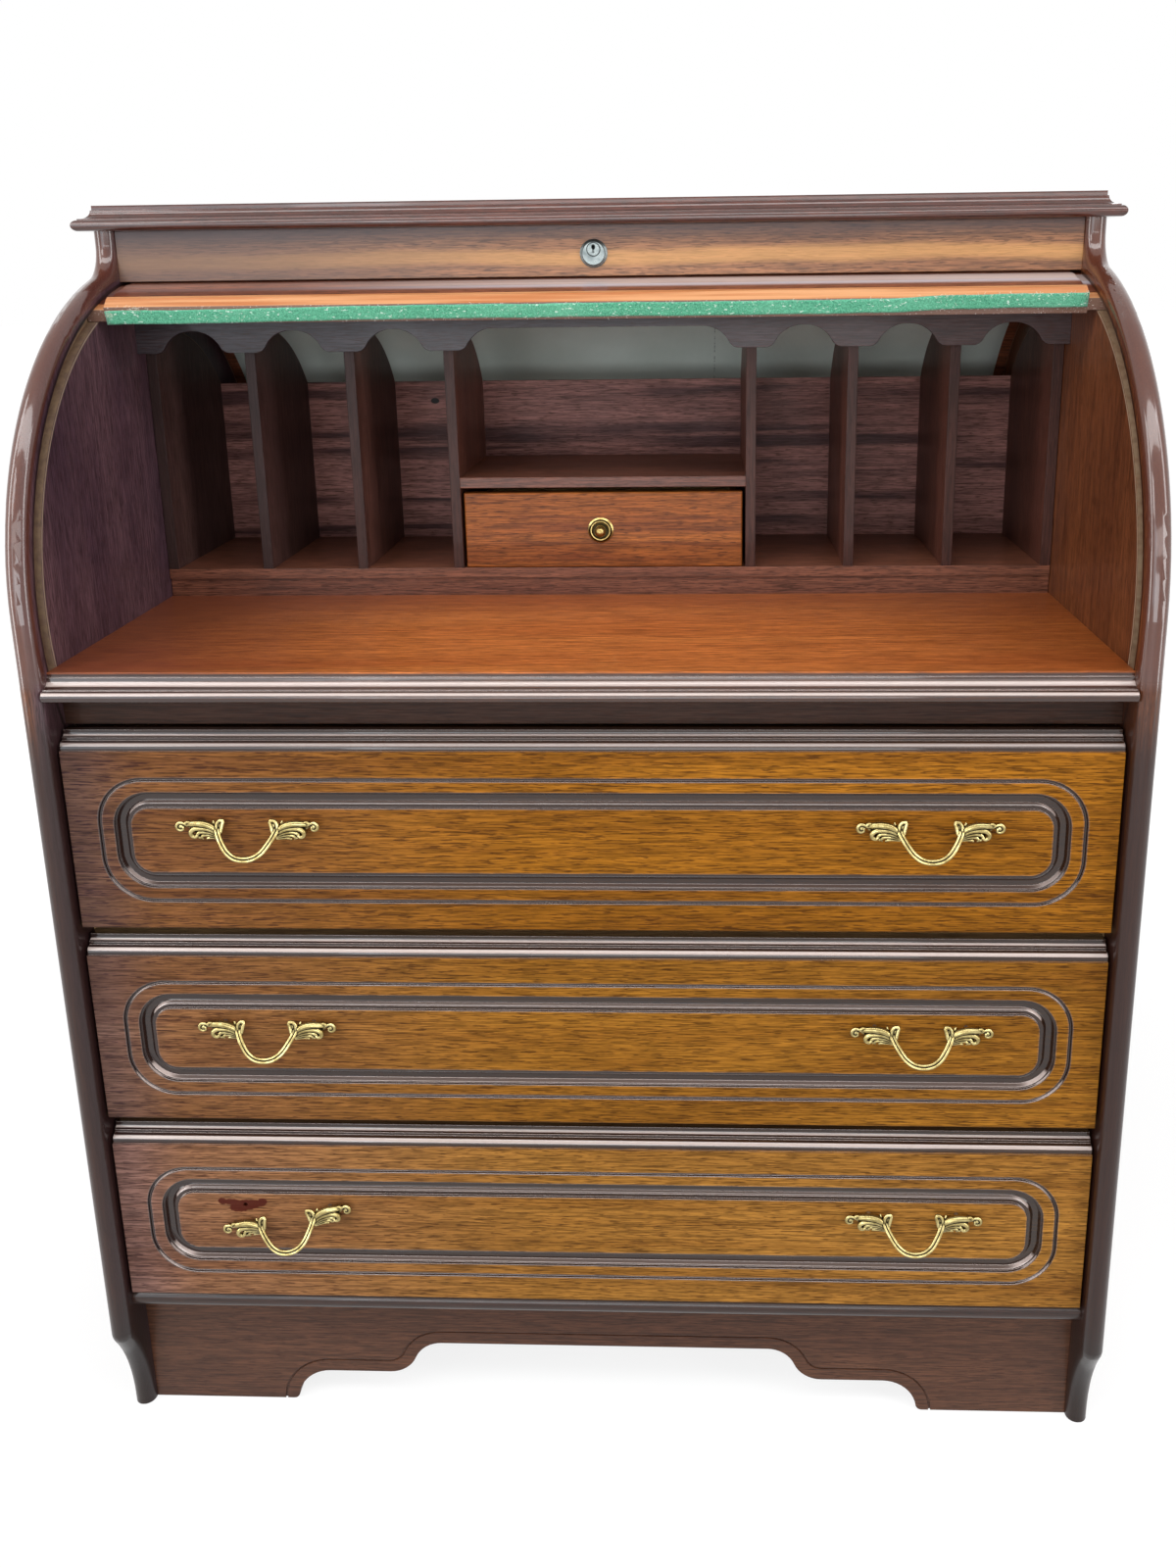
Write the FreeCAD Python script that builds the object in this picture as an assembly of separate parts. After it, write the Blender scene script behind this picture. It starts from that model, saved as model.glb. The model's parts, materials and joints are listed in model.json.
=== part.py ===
# Roll-top writing desk: three long drawers under a writing board, and a slatted curtain that rolls in
# grooves of the two sides over a row of pigeonholes. Modelled with the curtain open.
# Millimetres, +Z up, the front faces -Y, the origin is on the floor at the middle of the plan.
import FreeCAD, Part
import math
import os

from FreeCAD import Vector

# Cuts and fits
OVERRUN = 5.0             # how far a cutting tool runs past the piece that it cuts
SLIDE_FIT = 0.3           # clearance between pieces that slide on each other
TURN_FIT = 0.08           # radial clearance of the lock's plug in its body
LOOSE_FIT = 0.5           # clearance of a panel in its groove, and of a unit between the sides

# Case
INNER_WIDTH = 857.0       # between the two sides
SIDE_THICKNESS = 19.0
NOSE_ROUNDING = 9.0       # rounding of both arrises of a side's front edge
FACE_SETBACK = 12.0       # drawer faces behind the nose of the sides
BACK_THICKNESS = 5.0
BACK_REBATE = 9.0         # how far the back panel reaches into each side
BACK_LIFT = 20.0          # lower edge of the back panel over the floor

# Heights, from the floor up
PLINTH_HEIGHT = 122.0
BOTTOM_THICKNESS = 16.0
DRAWER_COUNT = 3
FRONT_HEIGHT = 173.0      # a long drawer's front with its top moulding
FRONT_GAP = 11.0          # between one front and the next
STACK_GAP = 1.5           # under the lowest front and over the highest
UNDER_RAIL_HEIGHT = 28.0
BOARD_THICKNESS = 22.0    # writing board and top board

# Curtain and its grooves
AXIS_RISE = 43.0          # axis of the grooves over the writing board
GROOVE_RADIUS = 262.0     # outer wall of the groove
GROOVE_WIDTH = 11.0
GROOVE_DEPTH = 8.0
GROOVE_MARGIN = 14.0      # wood between the groove and the nose of the side
SLAT_PLAY = 0.5           # play of a slat's tongue at each wall of the groove
SLAT_END_PLAY = 1.0       # play of a slat's tongue at the bottom of the groove
SLAT_LEAD = 2.5           # crown of a slat in front of the groove's outer wall
SHOULDER_GAP = 9.0        # shoulders of rail and slats beside the sides
SLAT_COUNT = 17
SLAT_PITCH = 22.0         # along the middle of the slats
SLAT_GAP = 0.6            # between neighbouring slats at the canvas
SLAT_ROUNDING = 1.2       # drop of a slat's outer face at its two edges
CANVAS_THICKNESS = 1.0
CANVAS_GAP = 0.1          # glue line between canvas and slats
CANVAS_MARGIN = 2.0       # canvas short of the shoulders
RAIL_HEIGHT = 38.0
RAIL_STEP_HEIGHT = 14.0   # height of the rail's thicker lower tier
RAIL_STEP_LEAD = 3.0      # lower tier in front of the upper tier, which is flush with the slats
RAIL_BEVEL = 4.0          # bevel under the lower tier's front, on the rail's foot
RAIL_BEVEL_RISE = 9.0     # the same bevel, on the lower tier's front
RAIL_INNER_LEAD = 2.0     # rail behind the groove's inner wall
RAIL_STOP_GAP = 21.0      # open rail in front of the frieze
FELT_THICKNESS = 2.0
FELT_MARGIN = 1.0         # felt inside the rail's lower face
CURTAIN_BACK_GAP = 3.0    # open curtain in front of the back panel

# Neck, frieze and top
TOP_GAP = 41.0            # top board over the crown of the grooves
FRIEZE_LEAD = 58.0        # frieze in front of the axis of the grooves
FRIEZE_THICKNESS = 18.0
FRIEZE_CLEARANCE = 1.0    # hollow underside of the frieze over the curtain
NECK_LEAD = 6.0           # neck of the side in front of the frieze
NECK_RADIUS = 30.0        # hollow curve between the neck and the round front
TOP_SIDE_OVERHANG = 11.5
TOP_FRONT_OVERHANG = 12.0

# Moulded edge of the writing board and of the top board
MOULD_SETBACK = 14.0      # upper arris behind the bead's front
MOULD_FILLET = 4.0        # upright fillet under the arris
MOULD_COVE = 7.5          # radius of the hollow
MOULD_QUIRK = 1.0         # small step between hollow and bead
BEAD_SETBACK = 4.5        # depth of the bead

# Foot of a side
FOOT_SETBACK = 26.0       # foot behind the nose
FOOT_RADIUS = 180.0       # hollow curve of the foot
FOOT_BEND_RADIUS = 14.0   # bend where the front edge turns into the hollow
FOOT_UPRIGHT = 5.0        # straight part at the floor

# Plinth front
PLINTH_SETBACK = 36.0     # behind the nose
PLINTH_THICKNESS = 18.0
ARCH_LOW_HALF = 291.0     # half width between the feet of the plinth
ARCH_LOW_HEIGHT = 32.5
ARCH_CORNER = 32.0        # hollow corner of the low step
ARCH_TOE = 6.0            # rounding of the toe at the floor
ARCH_HIGH_HALF = 152.0    # half width of the straight upper edge
ARCH_HIGH_HEIGHT = 66.0
ARCH_S_RADIUS = 27.0      # both curves of the S between the steps
LINE_OFFSET = 11.5        # incised line above the shaped edge
LINE_WIDTH = 2.0
LINE_DEPTH = 1.5
BOTTOM_NOSE_SETBACK = 14.0
BOTTOM_NOSE_ROUNDING = 7.5
PLINTH_BACK_HEIGHT = 90.0
PLINTH_BACK_THICKNESS = 18.0
PLINTH_BACK_INSET = 12.0  # in front of the back panel

# Rails and runners
UNDER_RAIL_SETBACK = 20.0  # behind the drawer faces
RAIL_THICKNESS = 18.0
RAIL_DEPTH = 40.0
RAIL_FACE_GAP = 2.0       # rails behind the drawer fronts
RUNNER_HEIGHT = 16.0
RUNNER_FRONT = 45.0       # runner's front end behind the drawer faces
RUNNER_END_GAP = 5.0      # runner's rear end in front of the drawer's rear

# Long drawers
FRONT_SIDE_GAP = 2.5      # long drawer's front beside the case side
FRONT_THICKNESS = 20.0
FRONT_MOULD = 15.0        # height of the moulding over the flat face
FRONT_MOULD_DEPTH = 10.5
FRONT_MOULD_STEP = 1.5
FRONT_MOULD_OVOLO = 5.5
FRONT_MOULD_FILLET = 2.0
FRONT_EDGE = 2.5          # rounding of the lower edge
BOX_SIDE_GAP = 4.0        # drawer side beside the case side
BOX_BACK_GAP = 58.0       # drawer's rear in front of the back panel
BOX_RISE = 9.0            # box over the lower edge of the front
BOX_HEIGHT = 138.0
BOX_THICKNESS = 12.0
PANEL_THICKNESS = 4.0
PANEL_RISE = 8.0          # bottom panel over the box's lower edge
PANEL_TONGUE = 5.0        # panel's edge in its grooves
RUNNER_GROOVE = 7.0       # depth of the runner's groove in the drawer side
RUNNER_RISE = 62.0        # runner's groove over the box's lower edge
DRAWER_TRAVEL = 300.0

# Lines on the drawer fronts
FINE_LINE_INSET = 25.0    # from the ends and the lower edge
FINE_LINE_TOP = 23.0      # from the top of the flat face
FINE_LINE_RADIUS = 40.0
FINE_LINE_WIDTH = 2.6
FINE_LINE_DEPTH = 1.6
PANEL_LINE_INSET = 38.0   # moulded groove, from the ends and the lower edge
PANEL_LINE_TOP = 35.5
PANEL_LINE_RADIUS = 30.0
PANEL_LINE_WIDTH = 13.5
PANEL_LINE_DEPTH = 5.0
PANEL_LINE_STEP = 2.0     # shelf on the inner side of the moulded groove
WALL_LEAN_SHARE = 0.25    # lean of a groove's walls as a share of its width

# Handles
HANDLE_SPREAD = 275.0     # handle centres from the middle of the drawer
HANDLE_RISE = 97.0        # over the lower edge of the front
HANDLE_HALF = 58.5        # half the length over both leaf tips
HANDLE_REACH = 24.0       # in front of the drawer face
HANDLE_TILT = 11.5        # degrees, the handle that hangs by one bolt
LEAF_TOP = 3.0            # leaf over the leaf line
LEAF_DROP = 13.0          # leaf under the leaf line
LEAF_RISE = 8.0           # leaf in front of the drawer face
LEAF_BELLY_SHARE = 0.5    # height of the widest outline of a leaf, a share of its rise
LEAF_FOOT_SHARE = 0.86    # outline on the face, a share of the widest
LEAF_CROWN_SHARE = 0.66   # foremost outline, a share of the widest
LEAF_MIDDLE_SHARES = (0.45, -0.35)  # middle of a leaf, shares of its length and drop
TIP_RADIUS = 3.3          # ball at the tip of a leaf
TIP_REACH = 5.0           # middle of that ball in front of the face
BAIL_HALF = 22.5
BAIL_RADIUS = 2.6
BAIL_DROP = 23.0          # lowest point of the bail's middle line under the leaf line
BAIL_ROOT_RISE = 1.5      # bail's ends over the leaf line
BAIL_ROOT_REACH = 4.6     # bail's ends in front of the face
CURL_RADIUS = 3.4
CURL_SPREAD = 20.5        # curls over the bail's roots, from the middle of the handle
CURL_RISE = 3.0           # curls over the leaf line
# Widest outline of a leaf: shares of its length from the root, and of its rise or drop at the leaf line
LEAF_UPPER_SHARES = [(0.00, 0.55), (0.22, 0.85), (0.50, 1.00), (0.74, 0.80)]
LEAF_TIP_SHARES = [(0.93, 0.35), (0.93, -0.12)]
LEAF_LOWER_SHARES = [(0.78, -0.30), (0.70, -0.62), (0.50, -0.95), (0.30, -1.00), (0.10, -0.82)]
# Middle line of the bail from a root to its lowest point: shares of its half width and of its fall
BAIL_BOW_SHARES = [(1.00, 0.00), (0.985, 0.16), (0.93, 0.32), (0.77, 0.53), (0.56, 0.75), (0.30, 0.92)]
BOLT_SPREAD = 38.0        # bolts from the middle of a handle
BOLT_RADIUS = 2.0
BOLT_DEPTH = 4.5          # blind hole in a handle
BOLT_HEAD_RADIUS = 4.0
BOLT_HEAD = 2.5

# Pigeonhole unit
UNIT_LEAD = 22.5          # front of the unit in front of the axis of the grooves
UNIT_DEPTH = 157.0
STRIP_HEIGHT = 17.5
STRIP_THICKNESS = 15.0
STRIP_SETBACK = 2.0
STRIP_HOUSING = 2.0       # depth of the strips' housings in the writing board
BASE_THICKNESS = 10.0
PARTITION_THICKNESS = 9.5
PARTITION_CLEARANCE = 35.0  # top of the partitions under the crown of the rail's path
SIDE_BAYS = 3             # pigeonholes on each side of the middle bay
PARTITION_ARC = 150.0     # rounding of the rear corner
PARTITION_FLAT = 30.0     # straight part of a partition's top
UNIT_BACK_THICKNESS = 6.0
SHELF_RISE = 78.5         # shelf over the base board
SHELF_THICKNESS = 10.0
VALANCE_LEAD = 16.0       # valance in front of the unit
VALANCE_THICKNESS = 6.0
VALANCE_HEIGHT = 46.0
VALANCE_ARCH = 20.0       # height of the arches
VALANCE_RUN = 33.0        # S at each end of an arch, where the bay is wide enough
VALANCE_PENDANT = 24.0    # width of a pendant's straight end
VALANCE_CLEARANCE = 6.0   # under the path of the rail's inner face
VALANCE_TOP_SHARE = 0.05  # least straight top of an arch, a share of its width
VALANCE_TURN_SHARE = 0.27  # where the two curves of an S meet, a share of its run

# Small drawer
SMALL_WIDTH = 267.0
SMALL_SIDE_GAP = 3.1      # small drawer's front beside the partitions
SMALL_HEIGHT = 73.0
SMALL_FRONT_THICKNESS = 12.0
SMALL_EDGE = 1.5
SMALL_BOX_INSET = 2.0
SMALL_BOX_HEIGHT = 56.0
SMALL_BOX_DEPTH = 122.0
SMALL_BOX_THICKNESS = 7.0
SMALL_PANEL_THICKNESS = 3.0
SMALL_PANEL_RISE = 3.0
SMALL_PANEL_TONGUE = 3.0
SMALL_TRAVEL = 105.0

# Knob of the small drawer
KNOB_SHIFT = 2.5          # knob to the left of the middle of its front
KNOB_RADIUS = 12.5
KNOB_PLATE = 2.2
KNOB_RING = 9.0           # radius of the ring on the plate
KNOB_RING_HEIGHT = 3.6
KNOB_NECK = 3.6
KNOB_HEAD = 5.4
KNOB_REACH = 13.0
KNOB_SCREW_RADIUS = 1.8
KNOB_SCREW_DEPTH = 5.0
KNOB_SCREW_HEAD = 3.6     # radius of the screw's head

# Lock
LOCK_DROP = 24.5          # middle of the lock under the top board
LOCK_BODY_RADIUS = 10.0
LOCK_COLLAR_RADIUS = 12.3
LOCK_COLLAR_RIM = 0.6     # upright edge of the sloping collar
LOCK_COLLAR_STEP = 0.6    # top of the collar's slope behind the front of the body
LOCK_COLLAR_REACH = 3.0
LOCK_BODY_REACH = 8.0     # behind the frieze
LOCK_PLUG_RADIUS = 5.8
LOCK_PLUG_OFFSET = 3.4    # plug over the middle of the body
LOCK_PLUG_LEAD = 1.0      # plug in front of the collar
KEYWAY_WIDTH = 1.6
KEYWAY_HEIGHT = 6.4
KEYWAY_DEPTH = 6.0
TONGUE_LENGTH = 14.0
TONGUE_WIDTH = 8.0
TONGUE_THICKNESS = 2.5

# Places that follow from the sizes above
HALF_INNER = INNER_WIDTH / 2
HALF_OUTER = HALF_INNER + SIDE_THICKNESS
FRONT_WIDTH = INNER_WIDTH - 2 * FRONT_SIDE_GAP
FRONT_PITCH = FRONT_HEIGHT + FRONT_GAP
BOTTOM_TOP_Z = PLINTH_HEIGHT + BOTTOM_THICKNESS
FRONT_Z = [BOTTOM_TOP_Z + STACK_GAP + FRONT_PITCH * row for row in range(DRAWER_COUNT)]
UNDER_RAIL_Z = FRONT_Z[-1] + FRONT_HEIGHT + STACK_GAP
BOARD_Z = UNDER_RAIL_Z + UNDER_RAIL_HEIGHT
WRITING_Z = BOARD_Z + BOARD_THICKNESS
AXIS_Z = WRITING_Z + AXIS_RISE
TOP_Z = AXIS_Z + GROOVE_RADIUS + TOP_GAP

SLAT_OUTER = GROOVE_RADIUS - SLAT_PLAY
SLAT_INNER = GROOVE_RADIUS - GROOVE_WIDTH + SLAT_PLAY
SLAT_MIDDLE = (SLAT_OUTER + SLAT_INNER) / 2
SLAT_HALF = HALF_INNER + GROOVE_DEPTH - SLAT_END_PLAY
SHOULDER_HALF = HALF_INNER - SHOULDER_GAP
CURTAIN_FACE = GROOVE_RADIUS + SLAT_LEAD
RAIL_OUTER = CURTAIN_FACE + RAIL_STEP_LEAD
RAIL_INNER = GROOVE_RADIUS - GROOVE_WIDTH - RAIL_INNER_LEAD
RAIL_FOOT_RISE = SLIDE_FIT + FELT_THICKNESS   # closed rail's wooden foot over the writing board

# Angles about the axis of the grooves, from the front (0) over the top (90) to the back (180)
FOOT_ANGLE = math.degrees(math.asin((RAIL_FOOT_RISE - AXIS_RISE) / SLAT_MIDDLE))
RAIL_TOP_ANGLE = FOOT_ANGLE + math.degrees(RAIL_HEIGHT / SLAT_MIDDLE)
RAIL_STEP_ANGLE = FOOT_ANGLE + math.degrees(RAIL_STEP_HEIGHT / SLAT_MIDDLE)
SLAT_ANGLE = math.degrees(SLAT_PITCH / SLAT_MIDDLE)
END_ANGLE = RAIL_TOP_ANGLE + SLAT_ANGLE * SLAT_COUNT
AXIS_SETBACK = GROOVE_MARGIN + GROOVE_RADIUS
OPEN_TOP_ANGLE = math.degrees(math.acos((FRIEZE_LEAD + RAIL_STOP_GAP) / CURTAIN_FACE))
CURTAIN_TRAVEL = OPEN_TOP_ANGLE - RAIL_TOP_ANGLE
OPEN_END_ANGLE = END_ANGLE + CURTAIN_TRAVEL
CURTAIN_REACH = -CURTAIN_FACE * math.cos(math.radians(OPEN_END_ANGLE))
CASE_DEPTH = AXIS_SETBACK + CURTAIN_REACH + CURTAIN_BACK_GAP + BACK_THICKNESS

NOSE_Y = (HANDLE_REACH - FACE_SETBACK - CASE_DEPTH) / 2
BACK_Y = NOSE_Y + CASE_DEPTH
PANEL_Y = BACK_Y - BACK_THICKNESS
FACE_Y = NOSE_Y + FACE_SETBACK
AXIS_Y = NOSE_Y + AXIS_SETBACK
FRIEZE_Y = AXIS_Y - FRIEZE_LEAD
FRIEZE_BACK_Y = FRIEZE_Y + FRIEZE_THICKNESS
UNIT_Y = AXIS_Y - UNIT_LEAD
UNIT_BACK_Y = UNIT_Y + UNIT_DEPTH
BASE_Z = WRITING_Z + STRIP_HEIGHT
BAY_Z = BASE_Z + BASE_THICKNESS
PARTITION_TOP_Z = AXIS_Z + RAIL_INNER - PARTITION_CLEARANCE
CENTRE_HALF = SMALL_WIDTH / 2 + SMALL_SIDE_GAP + PARTITION_THICKNESS / 2   # middle of an inner partition
LOCK_Z = TOP_Z - LOCK_DROP
PLUG_Z = LOCK_Z + LOCK_PLUG_OFFSET

X_AXIS = Vector(1, 0, 0)
Y_AXIS = Vector(0, 1, 0)
Z_AXIS = Vector(0, 0, 1)


def box(x0, x1, y0, y1, z0, z1):
    return Part.makeBox(x1 - x0, y1 - y0, z1 - z0, Vector(x0, y0, z0))


def line(a, b):
    return Part.LineSegment(a, b).toShape()


def arc(a, middle, b):
    return Part.Arc(a, middle, b).toShape()


def chain(points):
    """Straight edges through the points."""
    return [line(a, b) for a, b in zip(points, points[1:])]


def prism(edges, direction):
    """Solid over the closed outline of the edges, drawn out along the direction."""
    wire = Part.Wire(Part.__sortEdges__(edges))
    return Part.Face(wire).extrude(direction)


def mirrored(shape):
    return shape.mirror(Vector(0, 0, 0), X_AXIS)


def around_axis(radius, angle):
    """Point at a radius and angle about the axis of the grooves, in the plane of symmetry."""
    turn = math.radians(angle)
    return Vector(0, AXIS_Y - radius * math.cos(turn), AXIS_Z + radius * math.sin(turn))


def sector(inner, outer, start, end):
    """Edges of a ring's sector about the axis of the grooves."""
    middle = (start + end) / 2
    return [arc(around_axis(outer, start), around_axis(outer, middle), around_axis(outer, end)),
            line(around_axis(outer, end), around_axis(inner, end)),
            arc(around_axis(inner, end), around_axis(inner, middle), around_axis(inner, start)),
            line(around_axis(inner, start), around_axis(outer, start))]


def across(edges, half_length):
    """Solid over an outline in the plane of symmetry, drawn out to both sides."""
    solid = prism(edges, X_AXIS * (2 * half_length))
    solid.translate(X_AXIS * -half_length)
    return solid


def arc_about(centre, radius, start, end):
    """Arc in the plane of symmetry about a centre, angles in degrees from +Y towards +Z."""
    def point(angle):
        turn = math.radians(angle)
        return Vector(0, centre.y + radius * math.cos(turn), centre.z + radius * math.sin(turn))
    return arc(point(start), point((start + end) / 2), point(end)), point(start), point(end)


def side_outline():
    """Front edge from the neck over the round front to the ogee foot, closed along the back."""
    nose_radius = AXIS_SETBACK
    neck_y = FRIEZE_Y - NECK_LEAD
    neck_centre_y = neck_y - NECK_RADIUS
    reach = nose_radius + NECK_RADIUS
    neck_centre = Vector(0, neck_centre_y, AXIS_Z + math.sqrt(reach ** 2 - (AXIS_Y - neck_centre_y) ** 2))
    lean = math.degrees(math.atan2(neck_centre.z - AXIS_Z, neck_centre.y - AXIS_Y))
    neck, neck_top, neck_end = arc_about(neck_centre, NECK_RADIUS, 0, lean - 180)
    front, front_start, front_end = arc_about(Vector(0, AXIS_Y, AXIS_Z), nose_radius, lean, 180)

    foot_y = NOSE_Y + FOOT_SETBACK
    foot_centre = Vector(0, foot_y - FOOT_RADIUS, FOOT_UPRIGHT)
    bend_y = NOSE_Y + FOOT_BEND_RADIUS
    foot_reach = FOOT_RADIUS + FOOT_BEND_RADIUS
    bend_rise = math.sqrt(foot_reach ** 2 - (bend_y - foot_centre.y) ** 2)
    bend_centre = Vector(0, bend_y, FOOT_UPRIGHT + bend_rise)
    slope = math.degrees(math.atan2(bend_centre.z - foot_centre.z, bend_centre.y - foot_centre.y))
    bend, bend_top, bend_end = arc_about(bend_centre, FOOT_BEND_RADIUS, 180, 180 + slope)
    hollow, hollow_top, hollow_end = arc_about(foot_centre, FOOT_RADIUS, slope, 0)

    edges = [line(Vector(0, neck_y, TOP_Z), neck_top), neck, front, line(front_end, bend_top), bend, hollow]
    edges += chain([hollow_end, Vector(0, foot_y, 0), Vector(0, BACK_Y, 0), Vector(0, BACK_Y, TOP_Z),
                    Vector(0, neck_y, TOP_Z)])
    return edges


def side():
    """Right side, its inner face at the inner width."""
    body = prism(side_outline(), X_AXIS * SIDE_THICKNESS)
    body.translate(X_AXIS * HALF_INNER)
    front_edges = []
    for edge in body.Edges:
        points = [edge.valueAt(edge.FirstParameter), edge.valueAt(edge.LastParameter)]
        along = abs(points[0].x - points[1].x) < LOOSE_FIT
        ahead = all(point.y < FRIEZE_Y for point in points)
        at_top = all(point.z > TOP_Z - LOOSE_FIT for point in points)
        at_floor = all(point.z < LOOSE_FIT for point in points)
        if along and ahead and not at_top and not at_floor:
            front_edges.append(edge)
    body = body.makeFillet(NOSE_ROUNDING, front_edges)
    start = math.degrees(math.asin(-AXIS_RISE / GROOVE_RADIUS)) - math.degrees(OVERRUN / GROOVE_RADIUS)
    groove = prism(sector(GROOVE_RADIUS - GROOVE_WIDTH, GROOVE_RADIUS, start,
                          OPEN_END_ANGLE + math.degrees(LOOSE_FIT / GROOVE_RADIUS)),
                   X_AXIS * (GROOVE_DEPTH + OVERRUN))
    groove.translate(X_AXIS * (HALF_INNER - OVERRUN))
    below = box(0, HALF_OUTER + OVERRUN, NOSE_Y - OVERRUN, BACK_Y + OVERRUN, 0, WRITING_Z)
    rebate = box(HALF_INNER - OVERRUN, HALF_INNER + BACK_REBATE, PANEL_Y, BACK_Y + OVERRUN,
                 BACK_LIFT, TOP_Z + OVERRUN)
    return body.cut(groove.cut(below)).cut(rebate)


def mould_profile(front, base):
    """Moulded edge in the plane of symmetry, from its lower back to its upper arris."""
    upper = base + BOARD_THICKNESS
    bead_top = upper - MOULD_FILLET - MOULD_COVE - MOULD_QUIRK
    cove_front = front + MOULD_SETBACK - MOULD_QUIRK - MOULD_COVE
    cove_centre = Vector(0, cove_front, upper - MOULD_FILLET)
    cove, cove_top, cove_end = arc_about(cove_centre, MOULD_COVE, 0, -90)
    arris = Vector(0, front + MOULD_SETBACK, upper)
    bead_start = Vector(0, front + BEAD_SETBACK, bead_top)
    bead_end = Vector(0, front + BEAD_SETBACK, base)
    bead = arc(bead_start, Vector(0, front, (bead_top + base) / 2), bead_end)
    edges = chain([arris, Vector(0, front + MOULD_SETBACK, upper - MOULD_FILLET), cove_top])
    edges += [cove] + chain([cove_end, Vector(0, bead_start.y, cove_end.z), bead_start]) + [bead]
    return edges, bead_end, arris


def moulded_board(front, back, base, half_length):
    edges, lower, upper = mould_profile(front, base)
    edges += chain([lower, Vector(0, back, base), Vector(0, back, upper.z), upper])
    return across(edges, half_length)


def top_board():
    """Board moulded along its front and its two ends."""
    front = FRIEZE_Y - NECK_LEAD - TOP_FRONT_OVERHANG
    half_width = HALF_OUTER + TOP_SIDE_OVERHANG
    along = moulded_board(front, BACK_Y, TOP_Z, half_width + OVERRUN)
    edges, lower, upper = mould_profile(-half_width, TOP_Z)
    edges += chain([lower, Vector(0, 0, TOP_Z), Vector(0, 0, upper.z), upper])
    half = prism(edges, X_AXIS * (BACK_Y - front + 2 * OVERRUN))
    half.rotate(Vector(0, 0, 0), Z_AXIS, -90)
    half.translate(Y_AXIS * (BACK_Y + OVERRUN))
    return along.common(half.fuse(mirrored(half)).removeSplitter()).removeSplitter()


def barrel(radius, y0, y1, centre):
    """Round bar along Y about a centre."""
    return Part.makeCylinder(radius, y1 - y0, Vector(centre.x, y0, centre.z), Y_AXIS)


def frieze():
    """Board under the top, hollowed underneath so that the curtain rolls past it."""
    body = box(-HALF_INNER, HALF_INNER, FRIEZE_Y, FRIEZE_BACK_Y, AXIS_Z, TOP_Z)
    path = Part.makeCylinder(CURTAIN_FACE + FRIEZE_CLEARANCE, INNER_WIDTH + 2 * OVERRUN,
                             Vector(-HALF_INNER - OVERRUN, AXIS_Y, AXIS_Z), X_AXIS)
    hole = barrel(LOCK_BODY_RADIUS, FRIEZE_Y - OVERRUN, FRIEZE_BACK_Y + OVERRUN, Vector(0, 0, LOCK_Z))
    return body.cut(path).cut(hole)


def lock_body():
    """Barrel with a rim on the frieze, bored off its middle for the plug."""
    middle = Vector(0, 0, LOCK_Z)
    front = FRIEZE_Y - LOCK_COLLAR_REACH
    rear = FRIEZE_BACK_Y + LOCK_BODY_REACH
    body = barrel(LOCK_BODY_RADIUS, front, rear, middle)
    rim_y = FRIEZE_Y - LOCK_COLLAR_RIM
    rim = barrel(LOCK_COLLAR_RADIUS, rim_y, FRIEZE_Y, middle)
    slope = Part.makeCone(LOCK_COLLAR_RADIUS, LOCK_BODY_RADIUS, rim_y - front - LOCK_COLLAR_STEP,
                          Vector(0, rim_y, LOCK_Z), -Y_AXIS)
    bore = barrel(LOCK_PLUG_RADIUS + TURN_FIT, front - OVERRUN, rear + OVERRUN, Vector(0, 0, PLUG_Z))
    return body.fuse([rim, slope]).cut(bore).removeSplitter()


def lock_plug():
    front = FRIEZE_Y - LOCK_COLLAR_REACH - LOCK_PLUG_LEAD
    plug = barrel(LOCK_PLUG_RADIUS, front, FRIEZE_BACK_Y + LOCK_BODY_REACH + SLIDE_FIT, Vector(0, 0, PLUG_Z))
    keyway = box(-KEYWAY_WIDTH / 2, KEYWAY_WIDTH / 2, front - OVERRUN, front + KEYWAY_DEPTH,
                 PLUG_Z - KEYWAY_HEIGHT / 2, PLUG_Z + KEYWAY_HEIGHT / 2)
    return plug.cut(keyway)


def lock_tongue():
    """Tongue behind the plug, level while the lock is open."""
    start = FRIEZE_BACK_Y + LOCK_BODY_REACH + SLIDE_FIT
    end = start + TONGUE_THICKNESS
    half = TONGUE_WIDTH / 2
    reach = TONGUE_LENGTH - half
    disc = barrel(half, start, end, Vector(0, 0, PLUG_Z))
    bar = box(0, reach, start, end, PLUG_Z - half, PLUG_Z + half)
    tip = barrel(half, start, end, Vector(reach, 0, PLUG_Z))
    return disc.fuse([bar, tip]).removeSplitter()


def back_panel():
    half = HALF_INNER + BACK_REBATE - LOOSE_FIT
    return box(-half, half, PANEL_Y, BACK_Y, BACK_LIFT, TOP_Z)


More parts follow.
